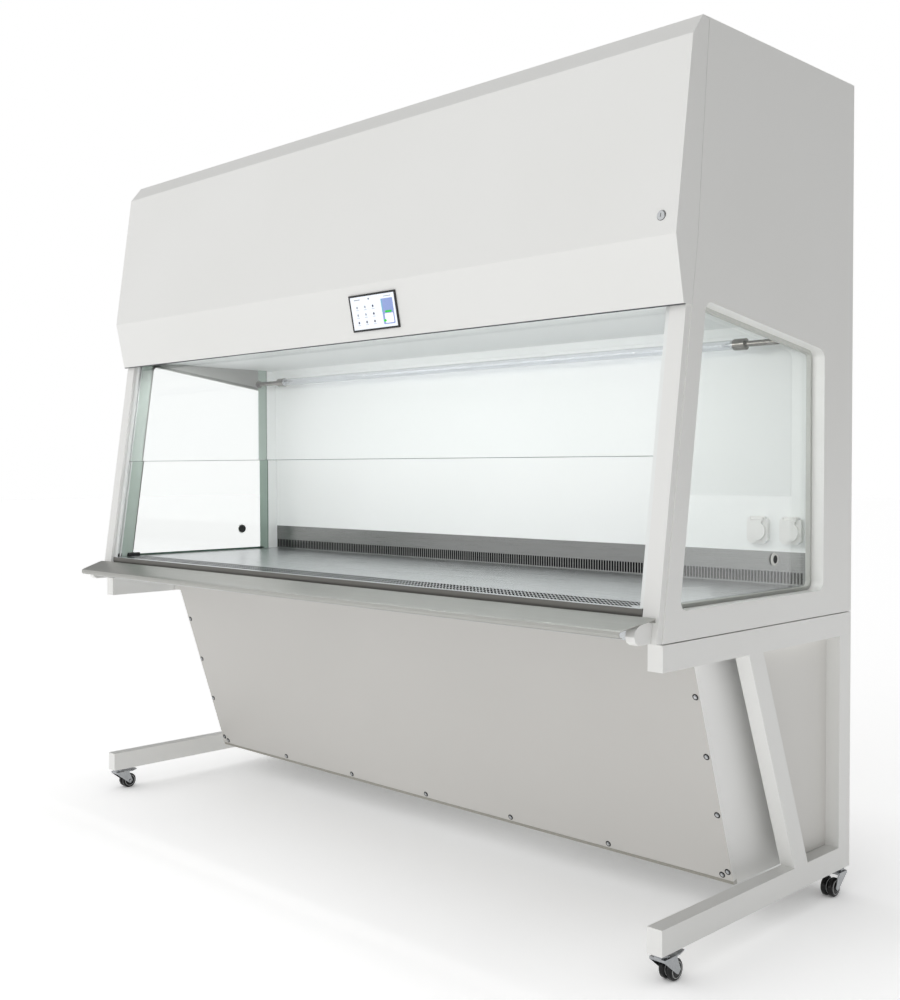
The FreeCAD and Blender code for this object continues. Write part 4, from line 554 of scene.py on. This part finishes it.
# Castor wheels: a pale ring round each side of both tyres, and a hub cap outside
tyre_outer, tyre_inner = 0.017, 0.003
ring_profile = [(0.0000, 0.0172), (0.0009, 0.0176), (0.0009, 0.0186), (0.0000, 0.0190)]
cap_profile = [(0.0000, 0.0050), (0.0009, 0.0055), (0.0012, 0.0085), (0.0000, 0.0120)]
for end, side, sign, wheel_y, _ in castors:
    number = 0
    for face, out in ((tyre_outer, 1), (-tyre_outer, -1), (tyre_inner, -1), (-tyre_inner, 1)):
        for kind, profile, material in (("ring", ring_profile, ring_plastic),
                                        ("cap", cap_profile, tyre_rubber)):
            if kind == "cap" and abs(face) == tyre_inner:
                continue
            number += 1
            shaped = [(sign * castor_across + face + out * across, radius) for across, radius in profile]
            hand_over(turned(shaped, (0, wheel_y, axle_up), 28),
                      f"wheel_{kind}_{end}_{side}_{number}", material, f"wheels_{end}_{side}")

# Display picture: generic tiles, a header rule and a status panel. The screen leans with the hood's
# lower face, 11.4 degrees, and its glass stands proud of that face
face_up = Vector((0, -0.1974, 0.9803))
face_out = Vector((0, -0.9803, -0.1974))
screen_proud, tile_gauge = 0.00352, 0.00012
screen_middle = Vector((0.18, -0.3137, 1.572)) + face_out * screen_proud


def on_screen(across_mm, up_mm, width_mm, height_mm, name, material, corner=0.25, lift=0.00005):
    """A thin rounded tile on the display, placed from the screen's middle."""
    corners = []
    cut = min(width_mm, height_mm) * corner
    for sx, sy in ((-1, -1), (1, -1), (1, 1), (-1, 1)):
        pair = [(sx * width_mm / 2, sy * (height_mm / 2 - cut)),
                (sx * (width_mm / 2 - cut), sy * height_mm / 2)]
        corners += pair if sx * sy > 0 else pair[::-1]
    points = [screen_middle + Vector((1, 0, 0)) * (across_mm + a) * MM + face_up * (up_mm + b) * MM
              + face_out * lift for a, b in corners]
    hand_over(drawn_out(points, face_out * tile_gauge), name, material, "cover", 0)


for row in range(3):
    for column in range(3):
        strong = column == 2 or row == 2
        across, up = -66 + column * 33, 16 - row * 21
        on_screen(across, up, 6.5, 7.5, f"display_symbol_{row}_{column}", ink if strong else pale_ink, 0.4)
        on_screen(across, up - 7.5, 12, 1.1, f"display_rule_{row}_{column}", pale_ink, 0.1)
on_screen(-62, 37, 26, 2.4, "display_header", pale_ink, 0.2)
on_screen(-14, 37, 6, 5, "display_header_mark", ink, 0.4)
on_screen(62, 38, 30, 1.8, "display_header_status", pale_ink, 0.2)
on_screen(59, -3, 46, 70, "display_status_panel", panel_blue, 0.03)
on_screen(37.5, 14, 5, 36, "display_status_edge", edge_blue, 0.1, 0.0002)
on_screen(61, -22, 34, 26, "display_status_field", tile_white, 0.06, 0.0002)
on_screen(60, -4, 27, 5, "display_mark_wide", signal_green, 0.4, 0.0004)
on_screen(43, -28, 12, 6.5, "display_mark_small", signal_green, 0.45, 0.0004)

# Sheet let into each side frame between brace and post
opening_low, opening_high = 0.1305, 0.6925
infill_inner, infill_gauge = 1.1431, 0.0012
infill = bar(infill_inner, infill_gauge, [(0.2655, opening_low), (0.4295, opening_low),
                                          (0.4295, opening_high), (0.0435, opening_high)])
modify(infill, "BEVEL", width=0.5 * MM, segments=1)
both_sides(infill, "frame_infill", infill_coat)

# Castor forks: the swivel head's two pressed races with the ball gap between them, and the axle nut
race = [(0.0000, 0.0120), (0.0000, 0.0186), (0.0014, 0.0192), (0.0028, 0.0186), (0.0034, 0.0176),
        (0.0042, 0.0176), (0.0048, 0.0186), (0.0062, 0.0192), (0.0072, 0.0180), (0.0072, 0.0120)]
nut = [(0.0000, 0.0010), (0.0000, 0.0058), (0.0026, 0.0058), (0.0034, 0.0044), (0.0034, 0.0010)]
nut_across = 1.1421
for end, side, sign, wheel_y, stem_y in castors:
    hand_over(turned(race, (sign * castor_across, stem_y, race_up), 36, (0, 0, 1)),
              f"swivel_race_{end}_{side}", zinc_plate, f"swivel_{end}_{side}")
    hand_over(turned([(sign * (nut_across - out), radius) for out, radius in nut], (0, wheel_y, axle_up), 6),
              f"axle_nut_{end}_{side}", zinc_plate, f"swivel_{end}_{side}", 0)

# Dished washers under the screw heads of the knee panel, in black: painted shade round each head
knee_tilt = math.radians(17.67)
panel_normal = Vector((0, -math.cos(knee_tilt), -math.sin(knee_tilt)))
half_head = 0.0013
dish = [(0.0002, 0.0052), (0.0008, 0.0054), (0.0016, 0.0074), (0.0010, 0.0082), (0.0002, 0.0082)]
for number, middle in enumerate(clumps("panel_screws")):
    hand_over(turned(dish, middle - panel_normal * half_head, 24, panel_normal),
              f"panel_washer_{number + 1}", black_rubber_and_shade, "cabinet")

# Knee panel: a dark strip of painted shade along its foot, and its folded edge up each side in the brighter
# white, a painted highlight
knee_foot, knee_top, knee_foot_y, knee_side = 0.102, 0.723, 0.059, 1.095


def knee_face(height, out):
    """(Y, Z) of the knee panel's face at a height, lifted off it along its normal."""
    face = Vector((0, knee_foot_y - (height - knee_foot) * math.tan(knee_tilt), height)) + panel_normal * out
    return face.y, face.z


hem_half = knee_side - 0.0005
hem = bar(-hem_half, 2 * hem_half, [knee_face(knee_foot + up, out) for up, out in (
    (0.0004, 0.0001), (0.0084, 0.0001), (0.0084, 0.0007), (0.0004, 0.0007))])
hand_over(hem, "knee_panel_foot_shade", foot_shade_coat, "cabinet", 0)
fold_low, fold_high = knee_foot + 0.009, knee_top - 0.001
knee_fold = bar(knee_side + 0.0001, 0.0004, [knee_face(height, out) for height, out in (
    (fold_low, -0.0004), (fold_high, -0.0004), (fold_high, -0.0132), (fold_low, -0.0132))])
both_sides(knee_fold, "knee_fold", painted_light_coat, 0)

# Lock: dark seat ring on the cover, and the keyway in the cylinder's face as a flat black slit, painted shade
fold_out, shoulder_out, fold_up, shoulder_up = -0.329, -0.265, 1.648, 2.0956
lock_across, lock_up = 1.140, 1.693
hood_lean = math.atan((shoulder_out - fold_out) / (shoulder_up - fold_up))
hood_normal = Vector((0, -math.cos(hood_lean), math.sin(hood_lean)))
hood_up = hood_normal.cross(Vector((1, 0, 0)))
lock_seat = Vector((lock_across, fold_out + (lock_up - fold_up) * math.tan(hood_lean), lock_up))
seat = turned([(0.0001, 0.0112), (0.0005, 0.0112), (0.0005, 0.0116), (0.0001, 0.0119)],
              lock_seat, 36, hood_normal)
hand_over(seat, "lock_seat_ring", black_rubber_and_shade, "cover")
lock_proud = max((vertex.co - lock_seat).dot(hood_normal) for vertex in nodes["lock_cylinder"].data.vertices)
lock_face = lock_seat + hood_normal * (lock_proud + 0.0001)
half_key, half_slit = 0.0035, 0.0007
key_corners = [(-half_slit, -half_key), (half_slit, -half_key), (half_slit, half_key), (-half_slit, half_key)]
keyway = drawn_out([lock_face + Vector((across, 0, 0)) + hood_up * up for across, up in key_corners],
                   hood_normal * 0.0002)
hand_over(keyway, "lock_keyway", black_bezel_and_slot_shade, "lock", 0)

# Screws of the socket bases
socket_face, socket_side = 0.3210, 0.0265
for number, across in ((1, 0.996), (2, 1.093)):
    for up in (0.9405, 1.0035):
        screw = turned([(0, 0.0005), (0, 0.0024), (0.0007, 0.0022), (0.0010, 0.0014), (0.0010, 0.0005)],
                       (across + socket_side, socket_face, up), 14, (0, -1, 0))
        hand_over(screw, f"socket_screw_{number}_{round(up * 1000)}", turned_steel, "cabinet")

# Germicidal lamp: thin tube, end caps, and the filament's mount inside each end
lamp_at, lamp_half = (0, 0.255, 1.462), 0.962
glass = turned([(-lamp_half, 0.0129), (lamp_half, 0.0129), (lamp_half, 0.0121), (-lamp_half, 0.0121)],
               lamp_at, 40)
hand_over(glass, "lamp_tube_wall", lamp_glass, "cabinet")
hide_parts("uv_tube")
cap_profile = [(0.9595, 0.0004), (0.9595, 0.0130), (0.9610, 0.0134), (0.9800, 0.0134), (0.9820, 0.0126),
               (0.9820, 0.0004)]
mount_profile = [(0.9300, 0.0004), (0.9300, 0.0030), (0.9596, 0.0060), (0.9596, 0.0004)]
for side, sign in (("left", -1), ("right", 1)):
    cap = turned([(sign * across, radius) for across, radius in cap_profile], lamp_at, 36)
    hand_over(cap, f"lamp_cap_{side}", turned_steel, "cabinet")
    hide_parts("uv_tube")
    mount = turned([(sign * across, radius) for across, radius in mount_profile], lamp_at, 20)
    hand_over(mount, f"lamp_filament_{side}", turned_steel, "cabinet")

# Painted shade just inside the left pane, green from the glass: the shaded rear jamb, its dark edge, the foot
# and the front post; and the pale strip in the corner behind it
for name, gauge, material, section in (
        ("pane_shade_rear", 0.0004, rear_jamb_shade, oblong(0.252, pane_foot, 0.288, pane_top)),
        ("pane_edge_shade_rear", 0.0004, glass_edge_shade, oblong(0.2882, pane_foot, 0.2912, pane_top)),
        ("corner_strip", 0.003, inside_coat, oblong(0.2914, pane_foot, 0.3325, pane_top)),
        ("pane_shade_low", 0.0004, glass_edge_shade, oblong(-0.300, pane_foot, 0.2678, 0.8360)),
        ("pane_shade_front", 0.0004, front_post_shade,
         [(-0.3533, pane_foot), (-0.3061, pane_foot), (-0.2090, pane_top), (-0.2557, pane_top)])):
    hand_over(bar(-pane_inner + 0.0001, gauge, section), name, material, "cabinet", 0)

# Countersunk screws of the rear panel, all but flush
rear_face, screw_across, screw_low, screw_pitch = 0.4900, 1.118, 0.80, 0.185
for side, sign in (("left", -1), ("right", 1)):
    for number in range(8):
        screw = turned([(0, 0.0005), (0, 0.0050), (0.0003, 0.0046), (0.0002, 0.0005)],
                       (sign * screw_across, rear_face, screw_low + number * screw_pitch), 16, (0, 1, 0))
        hand_over(screw, f"rear_screw_{side}_{number + 1}", screw_steel, "cabinet")

# Floor, light and camera
bpy.ops.object.select_all(action="DESELECT")
bpy.ops.mesh.primitive_plane_add(size=80, location=(0, 0, 0))
floor = bpy.context.object
floor.name = "studio_floor"
floor_material, tree, shader = finish("matt_white_floor", "f2f2f2", 0.95)
floor.data.materials.append(floor_material)
# A lit white studio floor: it glows a little, so the ground stays white and only shadows show; ambient
# occlusion dims the glow near the cabinet, a painted soft shadow
painted_shadow_occlusion = add(tree, "ShaderNodeAmbientOcclusion", {"Distance": 0.9}, samples=8)
level = add(tree, "ShaderNodeMapRange", {"Value": painted_shadow_occlusion.outputs["AO"], "To Min": 0.02, "To Max": 0.64})
glow = add(tree, "ShaderNodeEmission", {"Color": (1, 1, 1, 1), "Strength": level.outputs["Result"]})
both = add(tree, "ShaderNodeAddShader", {0: shader.outputs[0], 1: glow.outputs[0]})
tree.links.new(both.outputs[0], tree.nodes["Material Output"].inputs["Surface"])

world = bpy.data.worlds.new("studio")
bpy.context.scene.world = world
world.use_nodes = True
tree = world.node_tree
soft = tree.nodes["Background"]
soft.inputs["Color"].default_value = (1, 1, 1, 1)
# A broad soft light from the front left, which falls off towards the right and the back
toward = add(tree, "ShaderNodeTexCoord").outputs["Generated"]
facing = add(tree, "ShaderNodeVectorMath", {0: toward, 1: (-0.5, -0.866, 0)}, operation="DOT_PRODUCT")
level = add(tree, "ShaderNodeMapRange", {"Value": facing.outputs["Value"], "From Min": -0.3, "From Max": 1,
                                         "To Min": 0.1, "To Max": 1.12})
tree.links.new(level.outputs["Result"], soft.inputs["Strength"])
backdrop = add(tree, "ShaderNodeBackground", {"Color": (1, 1, 1, 1), "Strength": 1.0})
path = add(tree, "ShaderNodeLightPath")
seen = add(tree, "ShaderNodeMath", {0: path.outputs["Is Camera Ray"], 1: path.outputs["Is Transmission Ray"]},
           operation="MAXIMUM")
mix = add(tree, "ShaderNodeMixShader", {0: seen.outputs[0], 1: soft.outputs[0], 2: backdrop.outputs[0]})
tree.links.new(mix.outputs[0], tree.nodes["World Output"].inputs["Surface"])

# The tubes of the work light shine down over the trays
bpy.ops.object.light_add(type="AREA", location=(0, -0.19, 1.505))
tube = bpy.context.object
tube.name = "chamber_light"
tube.data.shape = "RECTANGLE"
tube.data.size, tube.data.size_y = 2.1, 0.1
tube.data.energy = 6.5
tube.rotation_euler = (math.radians(28), 0, 0)

# A little light that the white floor throws back onto the lower right side
bpy.ops.object.light_add(type="AREA", location=(2.6, 1.0, 0.4))
bounce = bpy.context.object
bounce.name = "floor_bounce"
bounce.data.shape = "RECTANGLE"
bounce.data.size, bounce.data.size_y = 1.6, 0.5
bounce.data.energy = 1.2
bounce.rotation_euler = Vector((-1, -0.4, 0.15)).to_track_quat("-Z", "Y").to_euler()
bounce.visible_camera = False

bpy.ops.object.camera_add()
camera = bpy.context.object
camera.name = "view_camera"
bpy.context.scene.camera = camera
camera.data.sensor_width = 36
camera.data.lens = 43.452
# Station and aim fitted to the edges in the photograph
right = Vector((0.708534, 0.705673, -0.002203))
upward = Vector((-0.017196, 0.020386, 0.999644))
back = Vector((0.705467, -0.708244, 0.026579))
camera.matrix_world = Matrix.Translation((2.69345, -2.54266, 1.13877)) @ Matrix(
    (right, upward, back)).transposed().to_4x4()
camera.data.clip_end = 200

bpy.context.scene.view_settings.view_transform = "Standard"
